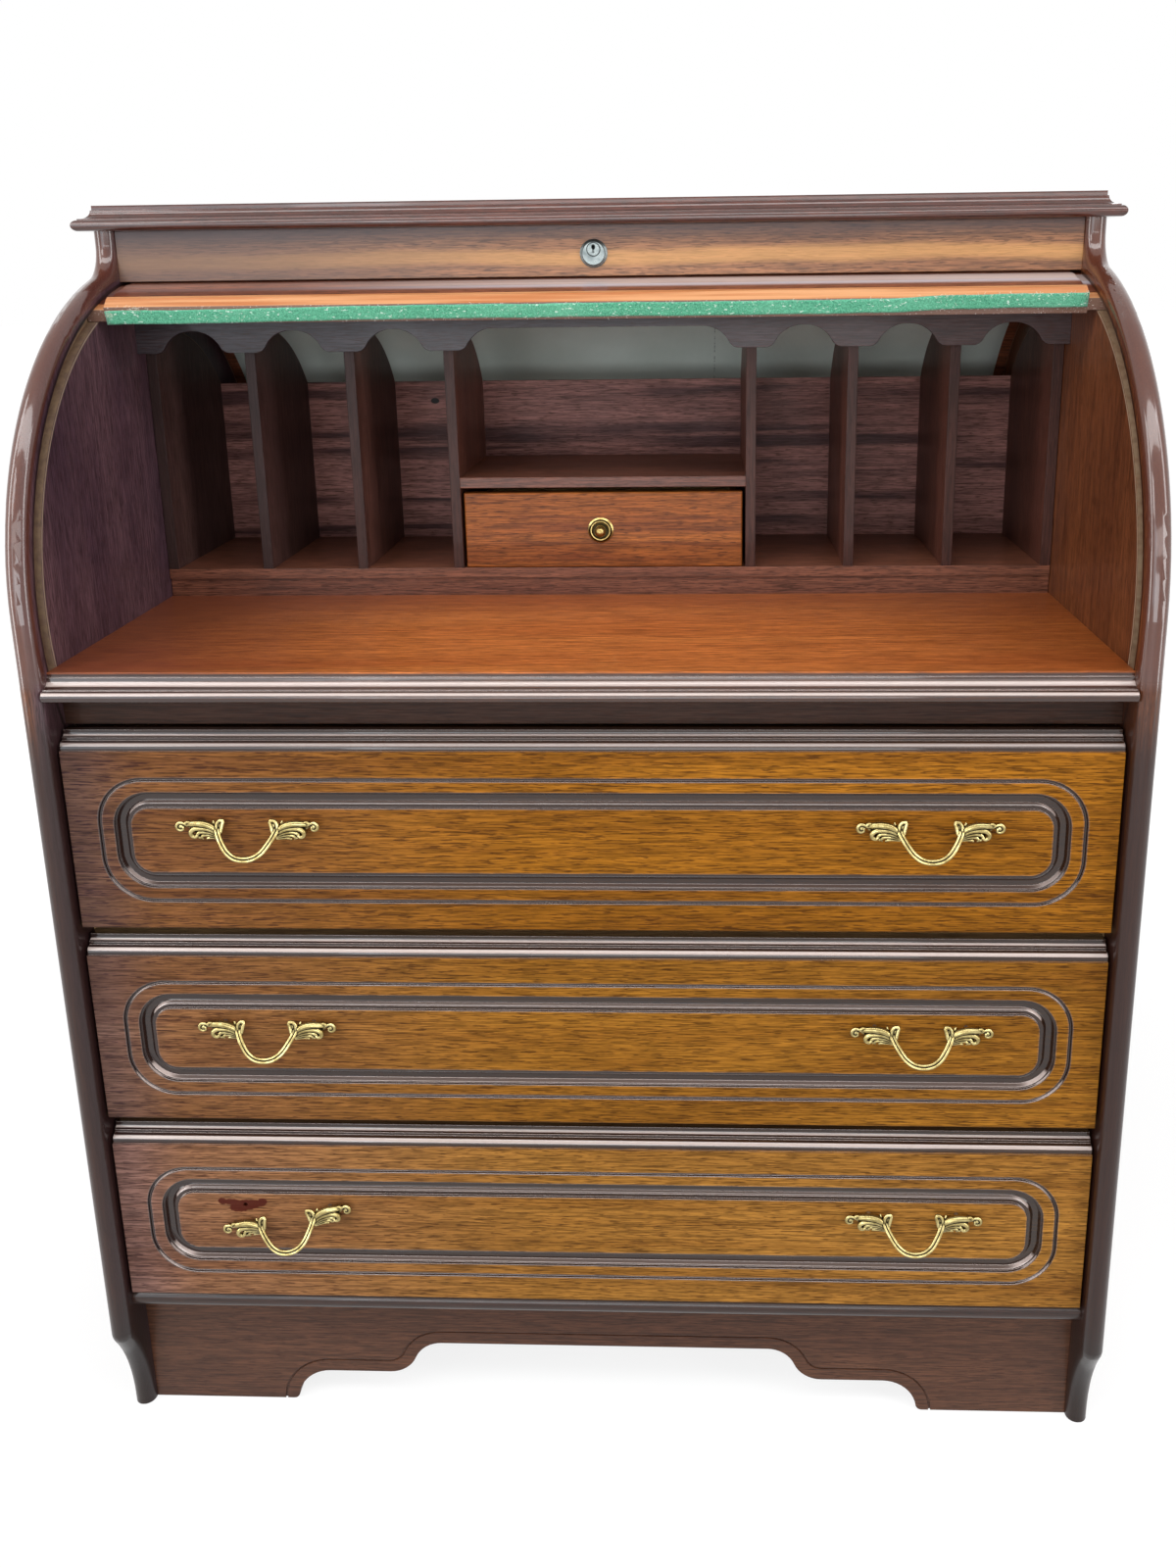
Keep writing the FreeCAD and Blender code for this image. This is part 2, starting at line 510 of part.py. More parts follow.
def arch_edges(grow):
    """Right half of the plinth's shaped edge, from the floor to the middle, raised by a margin."""
    def point(x, z):
        return Vector(x, NOSE_Y + PLINTH_SETBACK, z)

    low_x = ARCH_LOW_HALF + grow
    low_z = ARCH_LOW_HEIGHT + grow
    high_z = ARCH_HIGH_HEIGHT + grow
    corner = ARCH_CORNER + grow
    diagonal = math.sqrt(0.5)
    corner_middle = point(low_x - corner + corner * diagonal, low_z - corner + corner * diagonal)
    edges = [line(point(low_x, 0), point(low_x, low_z - corner)),
             arc(point(low_x, low_z - corner), corner_middle, point(low_x - corner, low_z))]

    step = ARCH_HIGH_HEIGHT - ARCH_LOW_HEIGHT
    turn = math.acos(1 - step / (2 * ARCH_S_RADIUS))
    run = ARCH_S_RADIUS * math.sin(turn)
    lower_radius = ARCH_S_RADIUS - grow
    upper_radius = ARCH_S_RADIUS + grow
    lower_x = ARCH_HIGH_HALF + 2 * run

    def on_lower(angle):
        return point(lower_x - lower_radius * math.sin(angle),
                     low_z + lower_radius - lower_radius * math.cos(angle))

    def on_upper(angle):
        return point(ARCH_HIGH_HALF + upper_radius * math.sin(angle),
                     high_z - upper_radius + upper_radius * math.cos(angle))

    edges += [line(point(low_x - corner, low_z), on_lower(0)),
              arc(on_lower(0), on_lower(turn / 2), on_lower(turn)),
              arc(on_upper(turn), on_upper(turn / 2), on_upper(0)),
              line(on_upper(0), point(0, high_z))]
    return edges, point(0, high_z), point(low_x, 0)


def near_toe(point, toe):
    return abs(point.x - toe.x) + abs(point.z - toe.z) < LOOSE_FIT


def plinth_front():
    front = NOSE_Y + PLINTH_SETBACK
    edges, middle, toe = arch_edges(0)
    corners = [toe, Vector(HALF_INNER, front, 0), Vector(HALF_INNER, front, PLINTH_HEIGHT),
               Vector(0, front, PLINTH_HEIGHT), middle]
    half = prism(edges + chain(corners), Y_AXIS * PLINTH_THICKNESS)
    toe_edges = [edge for edge in half.Edges if all(near_toe(vertex.Point, toe) for vertex in edge.Vertexes)]
    half = half.makeFillet(ARCH_TOE, toe_edges)

    lower, lower_middle, lower_toe = arch_edges(LINE_OFFSET)
    upper, upper_middle, upper_toe = arch_edges(LINE_OFFSET + LINE_WIDTH)
    ends = [line(lower_middle, upper_middle), line(lower_toe, upper_toe)]
    groove = prism(lower + upper + ends, Y_AXIS * LINE_DEPTH)
    half = half.cut(groove)
    return half.fuse(mirrored(half)).removeSplitter()


def bottom_board():
    front = NOSE_Y + BOTTOM_NOSE_SETBACK
    body = box(-HALF_INNER, HALF_INNER, front, PANEL_Y, PLINTH_HEIGHT, BOTTOM_TOP_Z)
    nose = [edge for edge in body.Edges
            if edge.BoundBox.YMax - front < LOOSE_FIT and edge.BoundBox.XLength > HALF_INNER]
    return body.makeFillet(BOTTOM_NOSE_ROUNDING, nose)


def plinth_back():
    back = PANEL_Y - PLINTH_BACK_INSET
    return box(-HALF_INNER, HALF_INNER, back - PLINTH_BACK_THICKNESS, back,
               PLINTH_HEIGHT - PLINTH_BACK_HEIGHT, PLINTH_HEIGHT)


def under_rail():
    front = FACE_Y + UNDER_RAIL_SETBACK
    return box(-HALF_INNER, HALF_INNER, front, front + RAIL_THICKNESS, UNDER_RAIL_Z, BOARD_Z)


def drawer_rail(row):
    """Rail behind the gap over a row of drawers."""
    front = FACE_Y + FRONT_THICKNESS + RAIL_FACE_GAP
    middle = FRONT_Z[row] + FRONT_HEIGHT + FRONT_GAP / 2
    return box(-HALF_INNER, HALF_INNER, front, front + RAIL_DEPTH,
               middle - RAIL_THICKNESS / 2, middle + RAIL_THICKNESS / 2)


def runner_z(row):
    return FRONT_Z[row] + BOX_RISE + RUNNER_RISE


def drawer_runners():
    """Strips on the sides, one pair for each long drawer."""
    width = BOX_SIDE_GAP + RUNNER_GROOVE - LOOSE_FIT
    front = FACE_Y + RUNNER_FRONT
    half, box_front, box_rear = drawer_inside()
    rear = box_rear - RUNNER_END_GAP
    strips = []
    for row in range(DRAWER_COUNT):
        z = runner_z(row)
        strip = box(HALF_INNER - width, HALF_INNER, front, rear, z, z + RUNNER_HEIGHT)
        strips += [strip, mirrored(strip)]
    return strips


def rounded_rectangle(x_half, z0, z1, radius, y):
    """Closed wire of a rectangle with round corners, in a plane parallel to the front."""
    diagonal = radius * (1 - math.sqrt(0.5))
    corners = []
    for side_x, side_z in ((1, 1), (-1, 1), (-1, -1), (1, -1)):
        x = side_x * x_half
        z = z1 if side_z > 0 else z0
        on_upright = Vector(x, y, z - side_z * radius)
        on_level = Vector(x - side_x * radius, y, z)
        middle = Vector(x - side_x * diagonal, y, z - side_z * diagonal)
        first, last = (on_upright, on_level) if side_x == side_z else (on_level, on_upright)
        corners.append((first, middle, last))
    edges = []
    for index, (first, middle, last) in enumerate(corners):
        edges.append(arc(first, middle, last))
        edges.append(line(last, corners[(index + 1) % len(corners)][0]))
    return Part.Wire(edges)


def ring_groove(outer, width, depth, y):
    """Groove between a rounded rectangle and its inner parallel, cut back from the face."""
    x_half, z0, z1, radius = outer
    inner = (x_half - width, z0 + width, z1 - width, radius - width)
    rings = [Part.Face(rounded_rectangle(*rectangle, y)) for rectangle in (outer, inner)]
    start = Y_AXIS * -OVERRUN
    solids = []
    for ring in rings:
        ring.translate(start)
        solids.append(ring.extrude(Y_AXIS * (depth + OVERRUN)))
    return solids[0].cut(solids[1])


def taper_groove(outer, width, depth, y):
    """Groove with leaning walls: a loft from the face to a narrower ring at its bottom."""
    x_half, z0, z1, radius = outer
    lean = width * WALL_LEAN_SHARE

    def inset(amount, at):
        return rounded_rectangle(x_half - amount, z0 + amount, z1 - amount, radius - amount, at)

    wide = Part.makeLoft([inset(0, y), inset(lean, y + depth)], True, True)
    core = Part.makeLoft([inset(width, y), inset(width - lean, y + depth)], True, True)
    return wide.cut(core)


def front_profile(base):
    """Section of a long drawer's front: flat face, ovolo, hollow and a fillet on top."""
    face_top = base + FRONT_HEIGHT - FRONT_MOULD
    upper = base + FRONT_HEIGHT
    cove_radius = FRONT_MOULD_DEPTH - FRONT_MOULD_STEP - FRONT_MOULD_OVOLO
    step_y = FACE_Y + FRONT_MOULD_STEP
    ovolo_z = face_top + FRONT_MOULD_STEP
    ovolo_centre = Vector(0, step_y + FRONT_MOULD_OVOLO, ovolo_z)
    ovolo, ovolo_start, ovolo_end = arc_about(ovolo_centre, FRONT_MOULD_OVOLO, 180, 90)
    fillet_y = FACE_Y + FRONT_MOULD_DEPTH
    fillet_z = upper - FRONT_MOULD_FILLET
    cove_centre = Vector(0, fillet_y - cove_radius, fillet_z)
    cove, cove_end, cove_start = arc_about(cove_centre, cove_radius, 0, -90)
    round_centre = Vector(0, FACE_Y + FRONT_EDGE, base + FRONT_EDGE)
    rounding, round_start, round_end = arc_about(round_centre, FRONT_EDGE, 270, 180)
    rear = FACE_Y + FRONT_THICKNESS
    edges = [rounding, ovolo, cove]
    edges += chain([round_end, Vector(0, FACE_Y, face_top), Vector(0, step_y, face_top), ovolo_start])
    edges += chain([ovolo_end, cove_start])
    edges += chain([cove_end, Vector(0, fillet_y, upper), Vector(0, rear, upper), Vector(0, rear, base),
                    round_start])
    return edges


def bolt_places(row):
    """Places of a drawer's four handle bolts: x, z."""
    z = FRONT_Z[row] + HANDLE_RISE
    offsets = (-BOLT_SPREAD, BOLT_SPREAD)
    return [(side_x * HANDLE_SPREAD + offset, z) for side_x in (-1, 1) for offset in offsets]


def drawer_front(row):
    base = FRONT_Z[row]
    face_top = base + FRONT_HEIGHT - FRONT_MOULD
    body = across(front_profile(base), FRONT_WIDTH / 2)
    half = FRONT_WIDTH / 2
    fine = (half - FINE_LINE_INSET, base + FINE_LINE_INSET, face_top - FINE_LINE_TOP, FINE_LINE_RADIUS)
    moulded = (half - PANEL_LINE_INSET, base + PANEL_LINE_INSET, face_top - PANEL_LINE_TOP,
               PANEL_LINE_RADIUS)
    body = body.cut(taper_groove(fine, FINE_LINE_WIDTH, FINE_LINE_DEPTH, FACE_Y))
    body = body.cut(taper_groove(moulded, PANEL_LINE_WIDTH - PANEL_LINE_STEP, PANEL_LINE_DEPTH, FACE_Y))
    body = body.cut(ring_groove(moulded, PANEL_LINE_WIDTH, PANEL_LINE_STEP, FACE_Y))
    rear = FACE_Y + FRONT_THICKNESS
    for x, z in bolt_places(row):
        body = body.cut(barrel(BOLT_RADIUS, FACE_Y - OVERRUN, rear + OVERRUN, Vector(x, 0, z)))
    slot = drawer_panel(row, LOOSE_FIT)
    return body.cut(slot)


def drawer_inside():
    """Half width over a long drawer's box, and its front and rear."""
    half = HALF_INNER - BOX_SIDE_GAP
    front = FACE_Y + FRONT_THICKNESS
    return half, front, PANEL_Y - BOX_BACK_GAP


def drawer_panel(row, play):
    """Bottom panel, or with some play the slot that takes it."""
    half, front, rear = drawer_inside()
    z = FRONT_Z[row] + BOX_RISE + PANEL_RISE
    x = half - BOX_THICKNESS + PANEL_TONGUE - LOOSE_FIT + play
    tongue = PANEL_TONGUE - LOOSE_FIT + play
    return box(-x, x, front - tongue, rear - BOX_THICKNESS + tongue, z, z + PANEL_THICKNESS)


def drawer_sides(row):
    half, front, rear = drawer_inside()
    z = FRONT_Z[row] + BOX_RISE
    body = box(half - BOX_THICKNESS, half, front, rear, z, z + BOX_HEIGHT)
    groove = box(half - RUNNER_GROOVE, half + OVERRUN, front + LOOSE_FIT, rear + OVERRUN,
                 runner_z(row) - SLIDE_FIT, runner_z(row) + RUNNER_HEIGHT + SLIDE_FIT)
    body = body.cut(groove).cut(drawer_panel(row, LOOSE_FIT))
    return [body, mirrored(body)]


def drawer_back(row):
    half, front, rear = drawer_inside()
    z = FRONT_Z[row] + BOX_RISE
    body = box(-half + BOX_THICKNESS, half - BOX_THICKNESS, rear - BOX_THICKNESS, rear, z, z + BOX_HEIGHT)
    return body.cut(drawer_panel(row, LOOSE_FIT))


def leaf():
    """Right leaf of a handle: a loft over three outlines, and a ball at its tip."""
    length = HANDLE_HALF - TIP_RADIUS - BAIL_HALF
    middle = Vector(BAIL_HALF + length * LEAF_MIDDLE_SHARES[0], 0, LEAF_DROP * LEAF_MIDDLE_SHARES[1])

    def outline(share, reach):
        points = []
        for along, up in LEAF_UPPER_SHARES + LEAF_TIP_SHARES + LEAF_LOWER_SHARES:
            point = Vector(BAIL_HALF + along * length, 0, up * (LEAF_TOP if up > 0 else LEAF_DROP))
            points.append(middle + (point - middle) * share + Y_AXIS * -reach)
        curve = Part.BSplineCurve()
        curve.interpolate(points, PeriodicFlag=True)
        return Part.Wire(curve.toShape())

    belly = outline(1, LEAF_RISE * LEAF_BELLY_SHARE)
    lower = Part.makeLoft([outline(LEAF_FOOT_SHARE, 0), belly], True, True)
    upper = Part.makeLoft([belly, outline(LEAF_CROWN_SHARE, LEAF_RISE)], True, True)
    tip = Part.makeSphere(TIP_RADIUS, Vector(HANDLE_HALF - TIP_RADIUS, -TIP_REACH, 0))
    return lower.fuse([upper, tip])


def bail():
    """Hanging bow between the leaves, leaning forward from its roots."""
    root = Vector(BAIL_HALF, -BAIL_ROOT_REACH, BAIL_ROOT_RISE)
    lowest = Vector(0, -(HANDLE_REACH - BAIL_RADIUS), -BAIL_DROP)
    fall = Vector(0, lowest.y - root.y, lowest.z - root.z)
    middle = root - X_AXIS * BAIL_HALF
    right = [middle + X_AXIS * (BAIL_HALF * out) + fall * low for out, low in BAIL_BOW_SHARES]
    left = [Vector(-point.x, point.y, point.z) for point in reversed(right)]
    curve = Part.BSplineCurve()
    curve.interpolate(right + [lowest] + left)
    start = Vector(curve.tangent(curve.FirstParameter)[0])
    ring = Part.Wire(Part.Circle(root, start, BAIL_RADIUS).toShape())
    return Part.Wire(curve.toShape()).makePipeShell([ring], True, False)


def handle():
    """One cast handle about its middle on the drawer face."""
    right = leaf()
    curl = Part.makeSphere(CURL_RADIUS, Vector(CURL_SPREAD, -BAIL_ROOT_REACH, CURL_RISE))
    body = right.fuse([mirrored(right), bail(), curl, mirrored(curl)])
    front = box(-HANDLE_HALF - OVERRUN, HANDLE_HALF + OVERRUN, -HANDLE_REACH - OVERRUN, 0,
                -HANDLE_HALF, HANDLE_HALF)
    body = body.common(front)
    for side_x in (-1, 1):
        place = Vector(side_x * BOLT_SPREAD, 0, 0)
        body = body.cut(barrel(BOLT_RADIUS, -BOLT_DEPTH, OVERRUN, place))
    return body.Solids[0]


def hangs_loose(row, side_x):
    """The left handle of the lowest drawer has lost its left bolt and turned about the other one."""
    return row == 0 and side_x < 0


def drawer_handles(row):
    handles = []
    for side_x in (-1, 1):
        body = handle()
        if hangs_loose(row, side_x):
            body.rotate(Vector(BOLT_SPREAD, 0, 0), Y_AXIS, -HANDLE_TILT)
        body.translate(Vector(side_x * HANDLE_SPREAD, FACE_Y, FRONT_Z[row] + HANDLE_RISE))
        handles.append(body)
    return handles


def handle_bolts(row):
    bolts = []
    rear = FACE_Y + FRONT_THICKNESS
    places = bolt_places(row)
    if hangs_loose(row, -1):
        places = places[1:]
    for x, z in places:
        place = Vector(x, 0, z)
        shank = barrel(BOLT_RADIUS, FACE_Y - BOLT_DEPTH, rear, place)
        head = barrel(BOLT_HEAD_RADIUS, rear, rear + BOLT_HEAD, place)
        bolts.append(shank.fuse(head).removeSplitter())
    return bolts


def unit_half():
    return HALF_INNER - LOOSE_FIT


def unit_base():
    return box(-unit_half(), unit_half(), UNIT_Y, UNIT_BACK_Y, BASE_Z, BAY_Z)


def strip_places():
    """Front faces of the two strips under the pigeonholes."""
    return UNIT_Y + STRIP_SETBACK, UNIT_BACK_Y - STRIP_SETBACK - STRIP_THICKNESS


def unit_strips():
    foot = WRITING_Z - STRIP_HOUSING
    return [box(-unit_half(), unit_half(), y, y + STRIP_THICKNESS, foot, BASE_Z) for y in strip_places()]


def writing_board():
    """Moulded board with two shallow housings for the strips."""
    body = moulded_board(NOSE_Y, PANEL_Y, BOARD_Z, HALF_INNER)
    end = HALF_INNER + OVERRUN
    foot = WRITING_Z - STRIP_HOUSING
    for y in strip_places():
        body = body.cut(box(-end, end, y, y + STRIP_THICKNESS, foot, WRITING_Z + OVERRUN))
    return body


def partition_places():
    """Middles of the eight partitions, from left to right."""
    end = unit_half() - PARTITION_THICKNESS / 2
    pitch = (end - CENTRE_HALF) / SIDE_BAYS
    right = [CENTRE_HALF + pitch * bay for bay in range(SIDE_BAYS + 1)]
    return [-x for x in reversed(right)] + right


def partition_crown():
    """Centre of a partition's round rear corner, and the height where it ends at the unit's back."""
    centre = Vector(0, UNIT_Y + PARTITION_FLAT, PARTITION_TOP_Z - PARTITION_ARC)
    reach = UNIT_BACK_Y - UNIT_BACK_THICKNESS - centre.y
    return centre, centre.z + math.sqrt(PARTITION_ARC ** 2 - reach ** 2)


def partition(x):
    centre, end_z = partition_crown()
    rear = UNIT_BACK_Y - UNIT_BACK_THICKNESS
    end_angle = math.degrees(math.atan2(end_z - centre.z, rear - centre.y))
    crown, crown_start, crown_end = arc_about(centre, PARTITION_ARC, 90, end_angle)
    corners = [Vector(0, rear, BAY_Z), Vector(0, UNIT_Y, BAY_Z), Vector(0, UNIT_Y, PARTITION_TOP_Z)]
    edges = [crown] + chain([crown_end] + corners + [crown_start])
    body = prism(edges, X_AXIS * PARTITION_THICKNESS)
    body.translate(X_AXIS * (x - PARTITION_THICKNESS / 2))
    return body


def unit_back():
    centre, end_z = partition_crown()
    return box(-unit_half(), unit_half(), UNIT_BACK_Y - UNIT_BACK_THICKNESS, UNIT_BACK_Y, BAY_Z, end_z)


def unit_shelf():
    half = CENTRE_HALF - PARTITION_THICKNESS / 2
    z = BAY_Z + SHELF_RISE
    return box(-half, half, UNIT_Y, UNIT_BACK_Y - UNIT_BACK_THICKNESS, z, z + SHELF_THICKNESS)


def valance():
    """Board over the pigeonholes, its lower edge cut in arches between the partitions."""
    front = UNIT_Y - VALANCE_LEAD
    crown = RAIL_INNER - VALANCE_CLEARANCE
    top = AXIS_Z + math.sqrt(crown ** 2 - (AXIS_Y - front) ** 2)
    low = top - VALANCE_HEIGHT
    body = box(-HALF_INNER, HALF_INNER, front, front + VALANCE_THICKNESS, low, top)
    places = partition_places()
    for left, right in zip(places, places[1:]):
        body = body.cut(valance_arch(left + VALANCE_PENDANT / 2, right - VALANCE_PENDANT / 2, front, low))
    return body


def valance_arch(left, right, front, low):
    """One arch: an S rises at each end to a straight top."""
    rise = VALANCE_ARCH
    run = min((right - left) * (1 - VALANCE_TOP_SHARE) / 2, VALANCE_RUN)
    turn = 2 * math.atan(rise / run)
    lower_radius = VALANCE_TURN_SHARE * run / math.sin(turn)
    upper_radius = (1 - VALANCE_TURN_SHARE) * run / math.sin(turn)
    chord = math.sin(turn / 2)
    sagitta = 1 - math.cos(turn / 2)

    def point(x, z):
        return Vector(x, front - OVERRUN, z)

    def rising(x, step):
        middle = point(x + step * run * VALANCE_TURN_SHARE, low + rise * VALANCE_TURN_SHARE)
        lower_bend = point(x + step * lower_radius * chord, low + lower_radius * sagitta)
        upper_bend = point(x + step * (run - upper_radius * chord), low + rise - upper_radius * sagitta)
        lower = arc(point(x, low), lower_bend, middle)
        upper = arc(middle, upper_bend, point(x + step * run, low + rise))
        return [lower, upper]

    edges = rising(left, 1) + rising(right, -1)
    edges += [line(point(left + run, low + rise), point(right - run, low + rise))]
    under = low - OVERRUN
    edges += chain([point(left, low), point(left, under), point(right, under), point(right, low)])
    return prism(edges, Y_AXIS * (VALANCE_THICKNESS + 2 * OVERRUN))


def small_drawer_places():
    """Half width of the small drawer's box, its front and rear, and its lower edge."""
    half = SMALL_WIDTH / 2 - SMALL_BOX_INSET
    front = UNIT_Y + SMALL_FRONT_THICKNESS
    return half, front, front + SMALL_BOX_DEPTH, BAY_Z + SLIDE_FIT


def small_front():
    low = BAY_Z + SLIDE_FIT
    rear = UNIT_Y + SMALL_FRONT_THICKNESS
    body = box(-SMALL_WIDTH / 2, SMALL_WIDTH / 2, UNIT_Y, rear, low, low + SMALL_HEIGHT)
    rim = [edge for edge in body.Edges if edge.BoundBox.YMax - UNIT_Y < LOOSE_FIT]
    body = body.makeFillet(SMALL_EDGE, rim)
    hole = barrel(KNOB_SCREW_RADIUS, UNIT_Y - OVERRUN, rear + OVERRUN, knob_place())
    return body.cut(hole).cut(small_panel(LOOSE_FIT))


def knob_place():
    return Vector(-KNOB_SHIFT, UNIT_Y, BAY_Z + SLIDE_FIT + SMALL_HEIGHT / 2)


def small_panel(play):
    half, front, rear, low = small_drawer_places()
    x = half - SMALL_BOX_THICKNESS + SMALL_PANEL_TONGUE - LOOSE_FIT + play
    z = low + SMALL_PANEL_RISE
    tongue = SMALL_PANEL_TONGUE - LOOSE_FIT + play
    return box(-x, x, front - tongue, rear - SMALL_BOX_THICKNESS + tongue, z, z + SMALL_PANEL_THICKNESS)


def small_sides():
    half, front, rear, low = small_drawer_places()
    body = box(half - SMALL_BOX_THICKNESS, half, front, rear, low, low + SMALL_BOX_HEIGHT)
    body = body.cut(small_panel(LOOSE_FIT))
    return [body, mirrored(body)]


def small_back():
    half, front, rear, low = small_drawer_places()
    inner = half - SMALL_BOX_THICKNESS
    body = box(-inner, inner, rear - SMALL_BOX_THICKNESS, rear, low, low + SMALL_BOX_HEIGHT)
    return body.cut(small_panel(LOOSE_FIT))


def knob():
    """Turned knob: plate, raised ring, neck and round head."""
    def point(radius, reach):
        return Vector(radius, -reach, 0)

    ring_outer = (KNOB_RADIUS + KNOB_RING) / 2
    ring_inner = KNOB_RING - (KNOB_RADIUS - KNOB_RING) / 2
    head_centre = KNOB_REACH - KNOB_HEAD
    neck_end = point(KNOB_NECK, head_centre - math.sqrt(KNOB_HEAD ** 2 - KNOB_NECK ** 2))
    ring_foot = point(ring_outer, KNOB_PLATE)
    ring_end = point(ring_inner, KNOB_PLATE)
    edges = chain([point(0, 0), point(KNOB_RADIUS, 0), point(KNOB_RADIUS, KNOB_PLATE / 2), ring_foot])
    edges += [arc(ring_foot, point(KNOB_RING, KNOB_RING_HEIGHT), ring_end)]
    edges += chain([ring_end, point(KNOB_NECK, KNOB_PLATE), neck_end])
    edges += [arc(neck_end, point(KNOB_HEAD, head_centre), point(0, KNOB_REACH))]
    edges += [line(point(0, KNOB_REACH), point(0, 0))]
    wire = Part.Wire(Part.__sortEdges__(edges))
    body = Part.Face(wire).revolve(Vector(0, 0, 0), Y_AXIS, 360)
    body.translate(knob_place())
    return body.cut(barrel(KNOB_SCREW_RADIUS, UNIT_Y - KNOB_SCREW_DEPTH, UNIT_Y + OVERRUN, knob_place()))


def knob_screw():
    rear = UNIT_Y + SMALL_FRONT_THICKNESS
    shank = barrel(KNOB_SCREW_RADIUS, UNIT_Y - KNOB_SCREW_DEPTH, rear, knob_place())
    head = barrel(KNOB_SCREW_HEAD, rear, rear + BOLT_HEAD, knob_place())
    return shank.fuse(head).removeSplitter()


def opened(shape):
    """Curtain pieces are drawn closed and rolled open about the axis of the grooves."""
    shape.rotate(Vector(0, AXIS_Y, AXIS_Z), X_AXIS, -CURTAIN_TRAVEL)
    return shape


def curtain_foot(rise):
    """Everything under a level that lies over the writing board while the curtain is closed."""
    half = HALF_OUTER + OVERRUN
    return box(-half, half, NOSE_Y - GROOVE_RADIUS, BACK_Y, 0, WRITING_Z + rise)


def curtain_rail():
    """Bottom rail: two tiers in front, and tongues that run in the grooves."""
    below = FOOT_ANGLE - SLAT_ANGLE
    lower = across(sector(RAIL_INNER, RAIL_OUTER, below, RAIL_STEP_ANGLE), SHOULDER_HALF)
    upper = across(sector(RAIL_INNER, CURTAIN_FACE, RAIL_STEP_ANGLE, RAIL_TOP_ANGLE), SHOULDER_HALF)
    tongue = across(sector(SLAT_INNER, SLAT_OUTER, below, RAIL_TOP_ANGLE), SLAT_HALF)
    body = lower.fuse([upper, tongue]).cut(curtain_foot(RAIL_FOOT_RISE)).removeSplitter()
    return opened(body.cut(rail_bevel()))


def rail_bevel():
    """Wedge off the lower front edge of the closed rail."""
    foot_z = WRITING_Z + RAIL_FOOT_RISE
    turn = math.degrees(math.asin((foot_z - AXIS_Z) / RAIL_OUTER))
    inside = around_axis(RAIL_OUTER, turn) + Y_AXIS * RAIL_BEVEL
    top = around_axis(RAIL_OUTER, turn + math.degrees(RAIL_BEVEL_RISE / RAIL_OUTER))
    outside_y = NOSE_Y - GROOVE_RADIUS
    under = foot_z - OVERRUN
    corners = [inside, top]
    corners += [Vector(0, outside_y, top.z), Vector(0, outside_y, under), Vector(0, inside.y, under), inside]
    return across(chain(corners), SHOULDER_HALF + OVERRUN)


def curtain_felt():
    half = SHOULDER_HALF - FELT_MARGIN
    ring = sector(RAIL_INNER + FELT_MARGIN, RAIL_OUTER - RAIL_BEVEL - FELT_MARGIN, FOOT_ANGLE - SLAT_ANGLE,
                  RAIL_STEP_ANGLE)
    level = curtain_foot(RAIL_FOOT_RISE).cut(curtain_foot(SLIDE_FIT))
    return opened(across(ring, half).common(level))


def curtain_slats():
    """Slats with a crowned face, side by side on the canvas, their tongues in the grooves."""
    half_gap = math.degrees(SLAT_GAP / 2 / SLAT_MIDDLE)
    edge_radius = CURTAIN_FACE - SLAT_ROUNDING
    slats = []
    for index in range(SLAT_COUNT):
        start = RAIL_TOP_ANGLE + SLAT_ANGLE * index + half_gap
        end = RAIL_TOP_ANGLE + SLAT_ANGLE * (index + 1) - half_gap
        crown = arc(around_axis(edge_radius, start), around_axis(CURTAIN_FACE, (start + end) / 2),
                    around_axis(edge_radius, end))
        flanks = sector(SLAT_INNER, edge_radius, start, end)[1:]
        body = across([crown] + flanks, SHOULDER_HALF)
        tongue = across(sector(SLAT_INNER, SLAT_OUTER, start, end), SLAT_HALF)
        slats.append(opened(body.fuse(tongue).removeSplitter()))
    return slats


def curtain_canvas():
    outer = SLAT_INNER - CANVAS_GAP
    start = RAIL_TOP_ANGLE + math.degrees(SLAT_GAP / SLAT_MIDDLE)
    edges = sector(outer - CANVAS_THICKNESS, outer, start, END_ANGLE)
    return opened(across(edges, SHOULDER_HALF - CANVAS_MARGIN))


